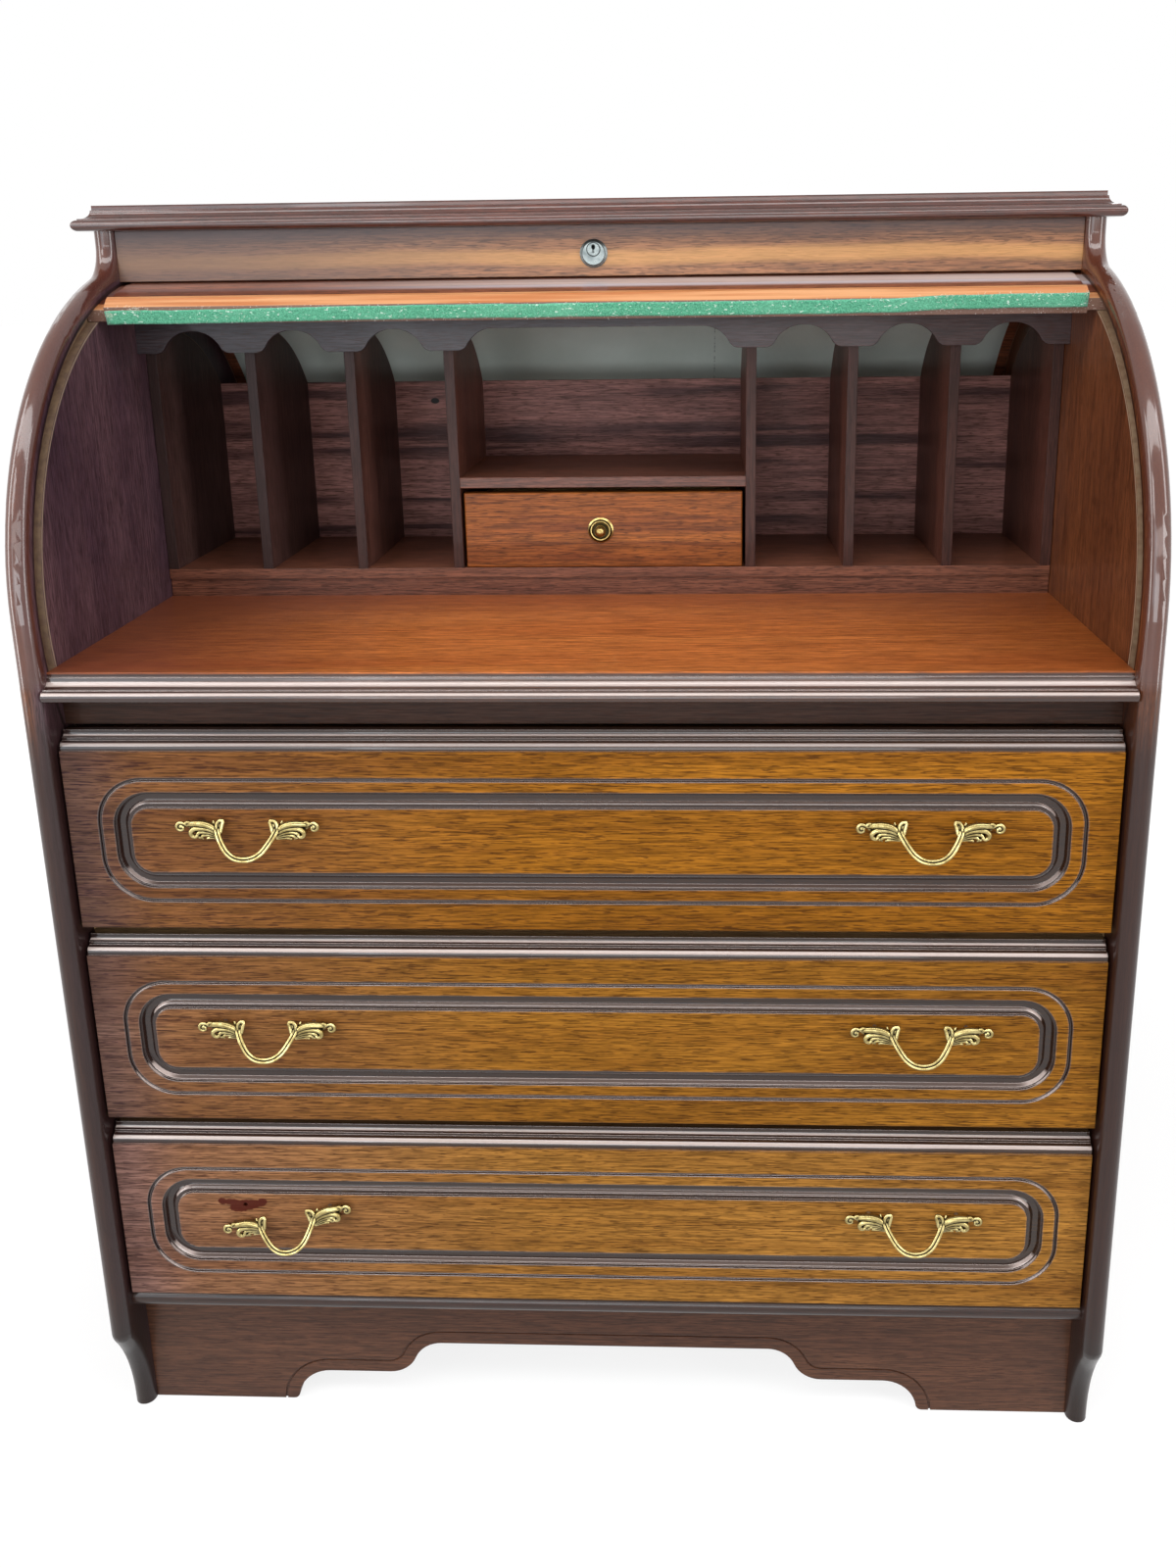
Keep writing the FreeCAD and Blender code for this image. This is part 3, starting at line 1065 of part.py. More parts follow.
def pieces():
    """Every node of the desk with its solids."""
    right = side()
    nodes = {
        "side_left": mirrored(right),
        "side_right": right,
        "top_board": top_board(),
        "frieze": frieze(),
        "back_panel": back_panel(),
        "writing_board": writing_board(),
        "under_rail": under_rail(),
        "bottom_board": bottom_board(),
        "plinth_front": plinth_front(),
        "plinth_back": plinth_back(),
        "drawer_runners": drawer_runners(),
        "pigeonhole_base": unit_base(),
        "pigeonhole_strips": unit_strips(),
        "pigeonhole_back": unit_back(),
        "pigeonhole_shelf": unit_shelf(),
        "valance": valance(),
        "lock_body": lock_body(),
        "lock_plug": lock_plug(),
        "lock_tongue": lock_tongue(),
        "curtain_rail": curtain_rail(),
        "curtain_felt": curtain_felt(),
        "curtain_slats": curtain_slats(),
        "curtain_canvas": curtain_canvas(),
        "small_drawer_front": small_front(),
        "small_drawer_sides": small_sides(),
        "small_drawer_back": small_back(),
        "small_drawer_bottom": small_panel(0),
        "small_drawer_knob": knob(),
        "small_drawer_knob_screw": knob_screw(),
    }
    for number, x in enumerate(partition_places(), 1):
        nodes[f"partition_{number}"] = partition(x)
    for row in range(DRAWER_COUNT - 1):
        nodes[f"drawer_rail_{DRAWER_COUNT - 1 - row}"] = drawer_rail(row)
    for row in range(DRAWER_COUNT):
        name = f"drawer_{DRAWER_COUNT - row}"
        nodes[f"{name}_front"] = drawer_front(row)
        nodes[f"{name}_sides"] = drawer_sides(row)
        nodes[f"{name}_back"] = drawer_back(row)
        nodes[f"{name}_bottom"] = drawer_panel(row, 0)
        nodes[f"{name}_handles"] = drawer_handles(row)
        nodes[f"{name}_handle_bolts"] = handle_bolts(row)
    return nodes


def main():
    os.makedirs("parts", exist_ok=True)
    for name, shape in pieces().items():
        solids = shape if isinstance(shape, list) else shape.Solids
        body = Part.makeCompound(solids) if len(solids) > 1 else solids[0]
        body.exportStep(f"parts/{name}.step")
        state = "valid" if body.isValid() else "NOT VALID"
        print(name, len(solids), "solids,", state, round(body.Volume), "mm3")
    print("case depth", round(CASE_DEPTH, 3), "height", round(TOP_Z + BOARD_THICKNESS, 3))
    print("groove axis y", round(AXIS_Y, 3), "z", round(AXIS_Z, 3), "travel", round(CURTAIN_TRAVEL, 3))


main()
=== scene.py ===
"""Looks of a roll-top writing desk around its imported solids. Lengths are metres in the row frame."""

import json
import math
import random

import bmesh
import bpy
import numpy as np
from mathutils import Matrix, Vector, noise


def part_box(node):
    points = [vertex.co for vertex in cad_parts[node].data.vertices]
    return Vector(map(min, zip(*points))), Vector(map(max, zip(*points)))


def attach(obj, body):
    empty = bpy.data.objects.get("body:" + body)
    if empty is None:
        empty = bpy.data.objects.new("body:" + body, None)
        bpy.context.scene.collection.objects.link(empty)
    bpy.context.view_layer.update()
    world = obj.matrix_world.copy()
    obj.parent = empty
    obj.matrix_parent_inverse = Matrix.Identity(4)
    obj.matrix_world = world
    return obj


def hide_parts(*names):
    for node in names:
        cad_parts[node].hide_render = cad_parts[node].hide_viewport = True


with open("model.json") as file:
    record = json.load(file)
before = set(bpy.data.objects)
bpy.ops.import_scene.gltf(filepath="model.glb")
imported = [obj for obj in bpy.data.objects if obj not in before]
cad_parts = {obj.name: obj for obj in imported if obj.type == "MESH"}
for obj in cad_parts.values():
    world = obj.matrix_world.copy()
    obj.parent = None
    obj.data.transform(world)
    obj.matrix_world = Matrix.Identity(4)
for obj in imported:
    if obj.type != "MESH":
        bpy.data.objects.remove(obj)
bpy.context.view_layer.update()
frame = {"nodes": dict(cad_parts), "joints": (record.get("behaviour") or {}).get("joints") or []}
NODES = frame["nodes"]
MM = 0.001
ROWS = (1, 2, 3)

# where the solids are
FACE_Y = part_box("drawer_1_front")[0].y
FRONT_LOW = {row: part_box(f"drawer_{row}_front")[0].z for row in ROWS}
FRONT_TOP = {row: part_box(f"drawer_{row}_front")[1].z for row in ROWS}
BOARD_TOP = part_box("writing_board")[1].z
BOARD_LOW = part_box("writing_board")[0].z
FRIEZE_LOW, FRIEZE_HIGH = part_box("frieze")
TOP_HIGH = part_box("top_board")[1]
SIDE_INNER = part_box("side_right")[0].x
SIDE_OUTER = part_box("side_right")[1].x
CURTAIN_JOINT = next(j for j in frame["joints"] if j["name"] == "curtain_roll")
AXIS = Vector(CURTAIN_JOINT["pos_m"])

# driving sizes that the looks share with the solids
FRONT_MOULD = 0.015
GROOVE_OUTER = 0.262
GROOVE_INNER = 0.251
HANDLE_SPREAD = 0.275
HANDLE_RISE = 0.097
BOLT_SPREAD = 0.038
HANDLE_TILT = 11.5
HANDLE_REACH = 0.024
SLIPPED_ROW = 3
PARTITION_ARC = 0.150
PARTITION_FLAT = 0.030
LOCK_BODY = 0.010
LOCK_PLUG = 0.0058
FRONT_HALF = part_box("drawer_1_front")[1].x
FLAT_HEIGHT = FRONT_TOP[1] - FRONT_LOW[1] - FRONT_MOULD
# lines on a front: inset from ends and lower edge, from the top of the flat face, corner radius, width
FINE_LINE = (0.025, 0.023, 0.040, 0.0026)
PANEL_LINE = (0.038, 0.0355, 0.030, 0.0135)


def srgb(red, green, blue):
    """Linear colour from the usual 0 to 255 steps."""
    def linear(step):
        value = step / 255
        return value / 12.92 if value <= 0.04045 else ((value + 0.055) / 1.055) ** 2.4
    return (linear(red), linear(green), linear(blue), 1.0)


class Shader:
    """A material under construction, with short calls for nodes and links."""

    def __init__(self, name):
        self.material = bpy.data.materials.new(name)
        self.material.use_nodes = True
        self.tree = self.material.node_tree
        self.tree.nodes.clear()
        self.surface = self.add("ShaderNodeBsdfPrincipled")
        output = self.add("ShaderNodeOutputMaterial")
        self.tree.links.new(self.surface.outputs[0], output.inputs[0])
        self.coords = self.add("ShaderNodeTexCoord").outputs["Object"]

    def add(self, kind, **settings):
        node = self.tree.nodes.new(kind)
        for key, value in settings.items():
            setattr(node, key, value)
        return node

    def feed(self, socket, value):
        if isinstance(value, bpy.types.NodeSocket):
            self.tree.links.new(value, socket)
        else:
            socket.default_value = value

    def math(self, operation, a, b=0.0):
        node = self.add("ShaderNodeMath", operation=operation)
        self.feed(node.inputs[0], a)
        self.feed(node.inputs[1], b)
        return node.outputs[0]

    def most(self, *values):
        total = values[0]
        for value in values[1:]:
            total = self.math("MAXIMUM", total, value)
        return total

    def product(self, *values):
        total = values[0]
        for value in values[1:]:
            total = self.math("MULTIPLY", total, value)
        return total

    def mix(self, factor, a, b, mode="MIX"):
        node = self.add("ShaderNodeMix", data_type="RGBA", blend_type=mode)
        self.feed(node.inputs[0], factor)
        self.feed(node.inputs[6], a)
        self.feed(node.inputs[7], b)
        return node.outputs[2]

    def span(self, value, low, high, bottom=0.0, top=1.0):
        """Smooth step from bottom at low to top at high."""
        node = self.add("ShaderNodeMapRange", interpolation_type="SMOOTHSTEP")
        for socket, number in zip(node.inputs, (value, low, high, bottom, top)):
            self.feed(socket, number)
        return node.outputs[0]

    def band(self, value, low, high, soft):
        """1 between two levels, with soft ends outside them."""
        return self.product(self.span(value, low - soft, low), self.span(value, high + soft, high))

    def scaled(self, factors, vector=None):
        node = self.add("ShaderNodeVectorMath", operation="MULTIPLY")
        self.feed(node.inputs[0], vector or self.coords)
        node.inputs[1].default_value = factors
        return node.outputs[0]

    def noise(self, vector, scale=1.0, detail=3.0, roughness=0.55, distortion=0.0):
        node = self.add("ShaderNodeTexNoise")
        self.feed(node.inputs["Vector"], vector)
        node.inputs["Scale"].default_value = scale
        node.inputs["Detail"].default_value = detail
        node.inputs["Roughness"].default_value = roughness
        node.inputs["Distortion"].default_value = distortion
        return node.outputs["Fac"]

    def axes(self):
        node = self.add("ShaderNodeSeparateXYZ")
        self.feed(node.inputs[0], self.coords)
        return node.outputs

    def distance(self, a, b, centre_a, centre_b, size_a=1.0, size_b=1.0):
        """Distance from a centre in two coordinates, each divided by a size."""
        u = self.math("DIVIDE", self.math("SUBTRACT", a, centre_a), size_a)
        v = self.math("DIVIDE", self.math("SUBTRACT", b, centre_b), size_b)
        return self.math("SQRT", self.math("ADD", self.math("MULTIPLY", u, u), self.math("MULTIPLY", v, v)))

    def inside(self, a, b, centre, half, corner):
        """Distance inside the outline of a rectangle with round corners."""
        outs = []
        for value, middle, size in ((a, centre[0], half[0]), (b, centre[1], half[1])):
            away = self.math("ABSOLUTE", self.math("SUBTRACT", value, middle))
            outs.append(self.math("MAXIMUM", self.math("SUBTRACT", away, size - corner), 0.0))
        squares = self.math("ADD", self.product(outs[0], outs[0]), self.product(outs[1], outs[1]))
        return self.math("SUBTRACT", corner, self.math("SQRT", squares))

    def bevel(self, radius):
        node = self.add("ShaderNodeBevel", samples=6)
        node.inputs["Radius"].default_value = radius
        return node.outputs[0]

    def bump(self, height, distance, strength=1.0, normal=None):
        node = self.add("ShaderNodeBump")
        node.inputs["Strength"].default_value = strength
        node.inputs["Distance"].default_value = distance
        self.feed(node.inputs["Height"], height)
        if normal is not None:
            self.feed(node.inputs["Normal"], normal)
        return node.outputs[0]

    def set(self, **values):
        for key, value in values.items():
            self.feed(self.surface.inputs[key.replace("_", " ")], value)


VARNISH_IOR = 1.5
# pale colour painted on upward slopes of polished wood: a painted highlight
PAINTED_HIGHLIGHT = srgb(206, 186, 178)
# upward slopes that get a painted highlight: lowest, highest, soft ends
HIGHLIGHT_SLOPE = (0.50, 0.78, 0.12)
RELIEF_DEPTH = 0.0008
RIPPLE_DEPTH = 0.0006
PORE_DEPTH = 0.0001
GRAIN = {"x": (0, 1, 1), "y": (1, 0, 1), "z": (1, 1, 0)}


def grain_vector(shader, along, lengthwise, across, vector=None):
    """Object coordinates stretched along the grain."""
    return shader.scaled(tuple(across if cross else lengthwise for cross in GRAIN[along]), vector)


def wood(name, light, dark, pore, along="x", figure=1.0, stripe=0.0, stripe_dark=None, rough=0.36, coat=0.06,
         toned=None, pores=0.65, seed=0.0, edge=0.0009, specular=0.22, coat_rough=0.07,
         painted_sheen=0.0, ripple=0.1):
    """Varnished wood: broad figure, ribbon stripes, fibres and short dark pores along the grain.
    toned(shader, colour) stains it, paints light and shade into it, names the parts with a deep polish, and may add
    a relief. Polished parts that slope upwards can get a pale painted highlight."""
    s = Shader(name)
    place = s.add("ShaderNodeVectorMath", operation="ADD")
    s.feed(place.inputs[0], s.coords)
    place.inputs[1].default_value = (seed * 1.37, seed * 2.11, seed * 0.73)
    at = place.outputs[0]
    broad = s.noise(grain_vector(s, along, 1.6, 15, at), detail=3.0, distortion=0.6)
    colour = s.mix(s.span(broad, 0.5 - 0.28 / figure, 0.5 + 0.28 / figure), dark, light)
    if stripe:
        ribbon = s.noise(grain_vector(s, along, 1.1, 62, at), detail=2.0, distortion=0.35)
        broken = s.noise(grain_vector(s, along, 4.5, 30, at), detail=2.0)
        streak = s.product(s.span(ribbon, 0.46, 0.60), s.span(broken, 0.34, 0.56), stripe)
        colour = s.mix(streak, colour, stripe_dark or dark)
    fibre = s.noise(grain_vector(s, along, 28, 700, at), detail=3.0, roughness=0.65, distortion=0.5)
    tone = s.span(fibre, 0.30, 0.70, 0.52, 1.42)
    shade = s.add("ShaderNodeCombineColor")
    for socket in shade.inputs:
        s.feed(socket, tone)
    colour = s.mix(1.0, colour, shade.outputs[0], "MULTIPLY")
    dash = s.noise(grain_vector(s, along, 75, 1150, at), detail=1.5, roughness=0.5, distortion=0.3)
    pore_mask = s.span(dash, 0.55, 0.63)
    colour = s.mix(s.product(pore_mask, pores), colour, pore)
    polish = coat
    normal = s.bevel(edge) if edge else None
    smear = s.noise(at, scale=11.0, detail=4.0, roughness=0.6)
    roughness = s.span(smear, 0.3, 0.7, rough - 0.025, rough + 0.03)
    relief = None
    if toned:
        colour, deep, relief = toned(s, colour)
        if deep is not None:
            polish = s.span(deep, 0.0, 1.0, coat, 1.0)
            # upward slopes of the polished parts get a painted highlight
            if painted_sheen:
                upward = s.add("ShaderNodeVectorMath", operation="DOT_PRODUCT")
                s.feed(upward.inputs[0], normal)
                upward.inputs[1].default_value = (0, 0, 1)
                pale = s.product(s.band(upward.outputs["Value"], *HIGHLIGHT_SLOPE), deep, painted_sheen)
                colour = s.mix(pale, colour, PAINTED_HIGHLIGHT)
            roughness = s.math("SUBTRACT", roughness, s.product(deep, 0.1))
    s.set(Base_Color=colour, Roughness=roughness, Specular_IOR_Level=specular, IOR=VARNISH_IOR)
    s.set(Coat_Weight=polish, Coat_Roughness=coat_rough, Coat_IOR=VARNISH_IOR)
    if relief is not None:
        normal = s.bump(relief, RELIEF_DEPTH, 1.0, normal)
    wave = s.bump(s.noise(at, scale=26.0, detail=2.0), RIPPLE_DEPTH, ripple, normal)
    s.set(Normal=s.bump(pore_mask, -PORE_DEPTH, 0.4, wave), Coat_Normal=wave)
    return s.material


def paint(material, *names):
    for name in names:
        slots = NODES[name].data.materials
        slots.clear()
        slots.append(material)


# wood
DARK_EDGE = srgb(32, 15, 11)
PORE = srgb(52, 24, 10)
FRONT_LIGHT = {1: srgb(158, 100, 28), 2: srgb(161, 107, 37), 3: srgb(172, 119, 53)}
FRONT_DARK = {1: srgb(122, 75, 19), 2: srgb(126, 80, 25), 3: srgb(136, 90, 38)}
# painted cool reflection towards the left and at the left end: where it starts, where it is full, factors
LEFT_REFLECTIONS = [(-0.02, -0.42, (0.66, 0.74, 3.2, 1.0)), (-0.35, -0.42, (0.60, 0.76, 1.5, 1.0))]
# share of the painted cool reflection on each row
LEFT_REFLECTION_SHARE = {1: 0.95, 2: 0.80, 3: 0.60}
# strength of the painted highlight on each row's upward slopes
FRONT_HIGHLIGHT = {1: 0.45, 2: 0.80, 3: 0.75}
# bead inside the panel line: from, to, soft ends
PANEL_BEAD = (0.0088, 0.0094, 0.0016)
MARK_STAIN = srgb(74, 25, 19)


def front_tone(row):
    """Dark polish in the grooves and on the top moulding, redder and greyer at the left, where a cool reflection is
    painted, and on the lowest drawer the mark of the handle that has slipped."""
    def tone(s, colour):
        x, y, z = s.axes()
        # painted cool reflection, greyer and darker towards the left
        for start, full, factors in LEFT_REFLECTIONS:
            colour = s.mix(s.span(x, start, full, 0.0, LEFT_REFLECTION_SHARE[row]), colour, factors, "MULTIPLY")
        if row == SLIPPED_ROW:
            colour = s.mix(handle_mark(s, x, z), colour, MARK_STAIN)
        mould_low = FRONT_TOP[row] - FRONT_MOULD
        mould = s.span(z, mould_low - 0.0004, mould_low + 0.0008)
        lines = [(front_line(s, x, z, row, line), line[3]) for line in (FINE_LINE, PANEL_LINE)]
        stained = s.most(mould, *[s.band(within, -0.0003, width + 0.0002, 0.0004) for within, width in lines])
        polished = s.most(mould, *[s.band(within, -0.0008, width + 0.0008, 0.0005) for within, width in lines])
        bead = s.band(lines[1][0], *PANEL_BEAD)
        return s.mix(s.product(stained, 0.94), colour, DARK_EDGE), polished, bead
    return tone


def front_line(s, x, z, row, line):
    """Distance inside the outer edge of a line that runs around a front."""
    inset, top, corner, width = line
    low, high = FRONT_LOW[row] + inset, FRONT_LOW[row] + FLAT_HEIGHT - top
    return s.inside(x, z, (0.0, (low + high) / 2), (FRONT_HALF - inset, (high - low) / 2), corner)


# print of the leaf in millimetres from the bolt hole: along, up, half width, half height
MARK_PARTS = [(-20.5, 3.5, 3.8, 3.4), (-13.0, 3.0, 8.0, 3.0), (0.0, 0.0, 13.5, 5.2), (8.0, 1.5, 11.0, 3.6),
              (15.5, 3.6, 4.2, 3.4), (-6.0, -3.0, 9.0, 4.5)]


def handle_mark(s, x, z):
    """Unfaded print of a leaf around the empty bolt hole: several ellipses with a rough rim."""
    centre_x = -HANDLE_SPREAD - BOLT_SPREAD
    centre_z = FRONT_LOW[SLIPPED_ROW] + HANDLE_RISE
    ragged = s.math("MULTIPLY", s.math("SUBTRACT", s.noise(s.coords, scale=420.0, detail=2.0), 0.5), 0.5)
    mask = 0.0
    for along, up, width, height in MARK_PARTS:
        size = s.distance(x, z, centre_x + along * MM, centre_z + up * MM, width * MM, height * MM)
        mask = s.most(mask, s.span(s.math("ADD", size, ragged), 1.08, 0.88))
    return s.product(mask, 0.92)


for row in ROWS:
    paint(wood(f"drawer_{row}_veneer", FRONT_LIGHT[row], FRONT_DARK[row], PORE, figure=0.8, stripe=0.3,
               stripe_dark=srgb(104, 58, 17), painted_sheen=FRONT_HIGHLIGHT[row], toned=front_tone(row), seed=row * 3.1,
               specular=0.06, coat=0.0), f"drawer_{row}_front")


def board_tone(s, colour):
    """Moulded front edge in dark polish, darker ends, and a darker back; at the left end and the back this is
    painted shade.
    """
    x, y, z = s.axes()
    # painted shade at the left end, beside the side wall
    colour = s.mix(s.span(x, -0.10, -0.40, 0.0, 0.75), colour, srgb(104, 52, 42))
    colour = s.mix(s.span(x, 0.15, 0.42, 0.0, 0.5), colour, srgb(120, 56, 24))
    # painted shade towards the back, under the pigeonholes
    colour = s.mix(s.span(y, AXIS.y - 0.15, AXIS.y, 0.0, 0.5), colour, srgb(110, 58, 38))
    edge = s.span(z, BOARD_TOP - 0.0004, BOARD_TOP - 0.0020)
    return s.mix(s.product(edge, 0.92), colour, DARK_EDGE), edge, None


# factors of the painted cool reflection on the inner face of the left side
COOL_REFLECTION = (0.74, 1.23, 4.0, 1.0)
# distance from the curtain's axis at which the dark polish of the round front starts and is full
NOSE_POLISH = (GROOVE_OUTER + 0.004, GROOVE_OUTER + 0.008)


def side_tone(painted_cool):
    """Dark polish along the round front, bare wood in the groove of the curtain, a worn pale edge along its inner
    side and painted shade in a dark band along its outer side. The inner face can be cooler than the outer one,
    through a painted cool reflection."""
    def tone(s, colour):
        x, y, z = s.axes()
        radius = s.distance(y, z, AXIS.y, AXIS.z)
        wide = s.math("ABSOLUTE", x)
        face = s.span(wide, SIDE_INNER + 0.0020, SIDE_INNER + 0.0006)
        # painted cool reflection on the inner face
        if painted_cool:
            inward = s.span(wide, SIDE_INNER + 0.010, SIDE_INNER + 0.002)
            colour = s.mix(inward, colour, COOL_REFLECTION, "MULTIPLY")
        high = s.span(z, BOARD_TOP - 0.02, BOARD_TOP)
        low = s.math("SUBTRACT", 1.0, high)
        front = s.product(s.span(radius, *NOSE_POLISH), s.span(y, -0.01, -0.05), high)
        front_low = s.product(s.span(y, FACE_Y + 0.004, FACE_Y - 0.002), low, 0.35)
        colour = s.mix(s.product(front, 0.85), colour, srgb(84, 45, 34))
        near = s.span(y, FACE_Y + 0.06, FACE_Y + 0.005)
        under = s.span(z, BOARD_TOP + 0.02, BOARD_LOW - 0.06, 0.0, 0.92)
        colour = s.mix(s.product(near, under), colour, srgb(40, 22, 19))
        colour = s.mix(s.product(near, s.span(z, 0.16, 0.08, 0.0, 0.7)), colour, srgb(34, 30, 28))
        groove = s.product(s.band(wide, SIDE_INNER + 0.0004, SIDE_OUTER - 0.003, 0.0003),
                           s.band(radius, GROOVE_INNER - 0.0004, GROOVE_OUTER + 0.0004, 0.0004))
        bare = s.product(groove, s.span(s.noise(s.coords, scale=160.0), 0.3, 0.7, 0.55, 0.95))
        shade = s.product(face, s.band(radius, GROOVE_OUTER, GROOVE_OUTER + 0.0022, 0.0008), 0.75)
        lip = s.product(face, s.band(radius, GROOVE_INNER - 0.0016, GROOVE_INNER - 0.0006, 0.0005), 0.7)
        colour = s.mix(shade, colour, srgb(26, 16, 14))
        colour = s.mix(lip, colour, srgb(186, 166, 142))
        return s.mix(bare, colour, srgb(146, 122, 98)), s.most(front, front_low), None
    return tone


def top_tone(s, colour):
    """Deep polish on the moulded edge."""
    x, y, z = s.axes()
    return colour, s.span(z, TOP_HIGH.z - 0.0004, TOP_HIGH.z - 0.0020), None


def frieze_tone(s, colour):
    """A golden streak along the middle and a greyer left, both painted reflection, and a dusky upper edge of
    painted shade.
    """
    x, y, z = s.axes()
    height = FRIEZE_HIGH.z - FRIEZE_LOW.z
    level = s.math("DIVIDE", s.math("SUBTRACT", z, FRIEZE_LOW.z), height)
    drift = s.noise(s.scaled((3.0, 20.0, 20.0)), detail=3.0)
    shifted = s.math("ADD", level, s.math("MULTIPLY", s.math("SUBTRACT", drift, 0.5), 0.5))
    # painted reflection: a golden streak along the middle
    colour = s.mix(s.product(s.band(shifted, 0.34, 0.46, 0.16), 0.5), colour, srgb(212, 156, 92))
    # painted reflection: greyer and darker towards the left
    colour = s.mix(s.span(x, 0.05, -0.40, 0.0, 0.8), colour, srgb(88, 66, 58))
    # painted shade along the upper edge, under the top board
    return s.mix(s.span(level, 0.60, 0.95, 0.0, 0.7), colour, srgb(64, 50, 54)), None, None


def valance_tone(s, colour):
    """Browner to the right, where the painted cool reflection ends."""
    x, y, z = s.axes()
    return s.mix(s.span(x, 0.0, 0.25), colour, (1.25, 0.86, 0.72, 1.0), "MULTIPLY"), None, None


HOLE_PLACE = (-0.1887, 0.9071)
HOLE_SIZE = (0.0045, 0.0030)


def unit_back_tone(s, colour):
    """A small hole in the back board, painted as a dark spot of shade."""
    x, y, z = s.axes()
    hole = s.span(s.distance(x, z, *HOLE_PLACE, *HOLE_SIZE), 1.15, 0.85)
    return s.mix(hole, colour, srgb(14, 9, 8)), None, None


def partition_tone(s, colour):
    """Bare wood on the round rear corner, a dark front edge, and a painted cool reflection to the left."""
    low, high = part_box("partition_1")
    x, y, z = s.axes()
    radius = s.distance(y, z, low.y + PARTITION_FLAT, high.z - PARTITION_ARC)
    corner = s.span(radius, PARTITION_ARC - 0.0009, PARTITION_ARC - 0.0004)
    bare = s.product(corner, s.span(z, high.z, high.z - 0.004))
    # painted cool reflection towards the left
    colour = s.mix(s.span(x, -0.12, -0.38), colour, (0.80, 1.15, 1.50, 1.0), "MULTIPLY")
    edge = s.product(s.span(y, low.y + 0.0012, low.y + 0.0004), s.span(x, 0.0, -0.3, 0.6, 0.8))
    colour = s.mix(edge, colour, srgb(42, 28, 26))
    return s.mix(s.product(bare, 0.7), colour, srgb(150, 122, 98)), None, None


# the board's moulded edge gets a painted highlight on its upward slopes
paint(wood("writing_board_veneer", srgb(212, 126, 62), srgb(178, 94, 44), srgb(84, 36, 16), figure=0.7, pores=0.4,
           rough=0.3, coat=0.1, painted_sheen=0.75, toned=board_tone, seed=1.0), "writing_board")
# the left side's inner face gets a painted cool reflection
for side, painted_cool, seed in (("side_left", True, 2.0), ("side_right", False, 2.4)):
    paint(wood(f"{side}_veneer", srgb(124, 72, 42), srgb(84, 46, 29), PORE, along="z", figure=0.9, stripe=0.3,
               rough=0.34, coat=0.12, toned=side_tone(painted_cool), seed=seed, edge=0.0, ripple=0.025), side)
paint(wood("top_veneer", srgb(92, 44, 30), srgb(62, 28, 20), PORE, figure=0.8, rough=0.3, coat=0.15, toned=top_tone,
           seed=5.0), "top_board")
paint(wood("frieze_veneer", srgb(166, 114, 76), srgb(118, 76, 50), PORE, figure=1.3, stripe=0.25, toned=frieze_tone,
           coat=0.45, coat_rough=0.38, seed=6.0), "frieze")
paint(wood("plinth_veneer", srgb(96, 62, 44), srgb(72, 43, 30), PORE, figure=0.8, stripe=0.3, seed=7.0),
      "plinth_front")
paint(wood("rail_veneer", srgb(62, 40, 30), srgb(42, 25, 19), PORE, figure=0.8, specular=0.12, seed=8.0),
      "under_rail")
paint(wood("bottom_veneer", srgb(52, 30, 22), srgb(36, 20, 15), PORE, figure=0.8, coat=0.5, rough=0.3, seed=8.5),
      "bottom_board")
paint(wood("unit_wood", srgb(104, 64, 52), srgb(72, 41, 34), PORE, along="z", figure=0.8, stripe=0.35, rough=0.38,
           coat=0.04, specular=0.12, toned=partition_tone, seed=9.0),
      *[f"partition_{number}" for number in range(1, 9)])
paint(wood("unit_board_wood", srgb(128, 80, 60), srgb(90, 52, 40), PORE, figure=0.8, stripe=0.3, rough=0.38,
           coat=0.12, seed=10.0), "pigeonhole_base", "pigeonhole_strips", "pigeonhole_shelf")
# dark grey-blue valance colours: painted shade under the rail with a painted cool reflection
paint(wood("valance_wood", srgb(66, 58, 62), srgb(46, 38, 42), PORE, figure=0.8, stripe=0.3, rough=0.38,
           coat=0.15, toned=valance_tone, seed=10.5), "valance")
paint(wood("unit_back_veneer", srgb(156, 108, 100), srgb(120, 80, 74), PORE, figure=0.9, stripe=0.95,
           stripe_dark=srgb(66, 40, 40), rough=0.42, coat=0.0, specular=0.12, toned=unit_back_tone, seed=11.0),
      "pigeonhole_back")
paint(wood("small_front_veneer", srgb(158, 92, 38), srgb(112, 58, 26), PORE, figure=1.2, stripe=0.6,
           stripe_dark=srgb(82, 35, 20), specular=0.12, seed=12.0), "small_drawer_front")
paint(wood("inner_wood", srgb(196, 160, 112), srgb(164, 124, 80), srgb(110, 76, 44), figure=0.7, rough=0.6,
           coat=0.0, pores=0.3, seed=14.0, edge=0.0),
      "back_panel", "plinth_back", "drawer_runners", "drawer_rail_1", "drawer_rail_2", "small_drawer_sides",
      "small_drawer_back", "small_drawer_bottom",
      *[f"drawer_{row}_{piece}" for row in ROWS for piece in ("sides", "back", "bottom")])


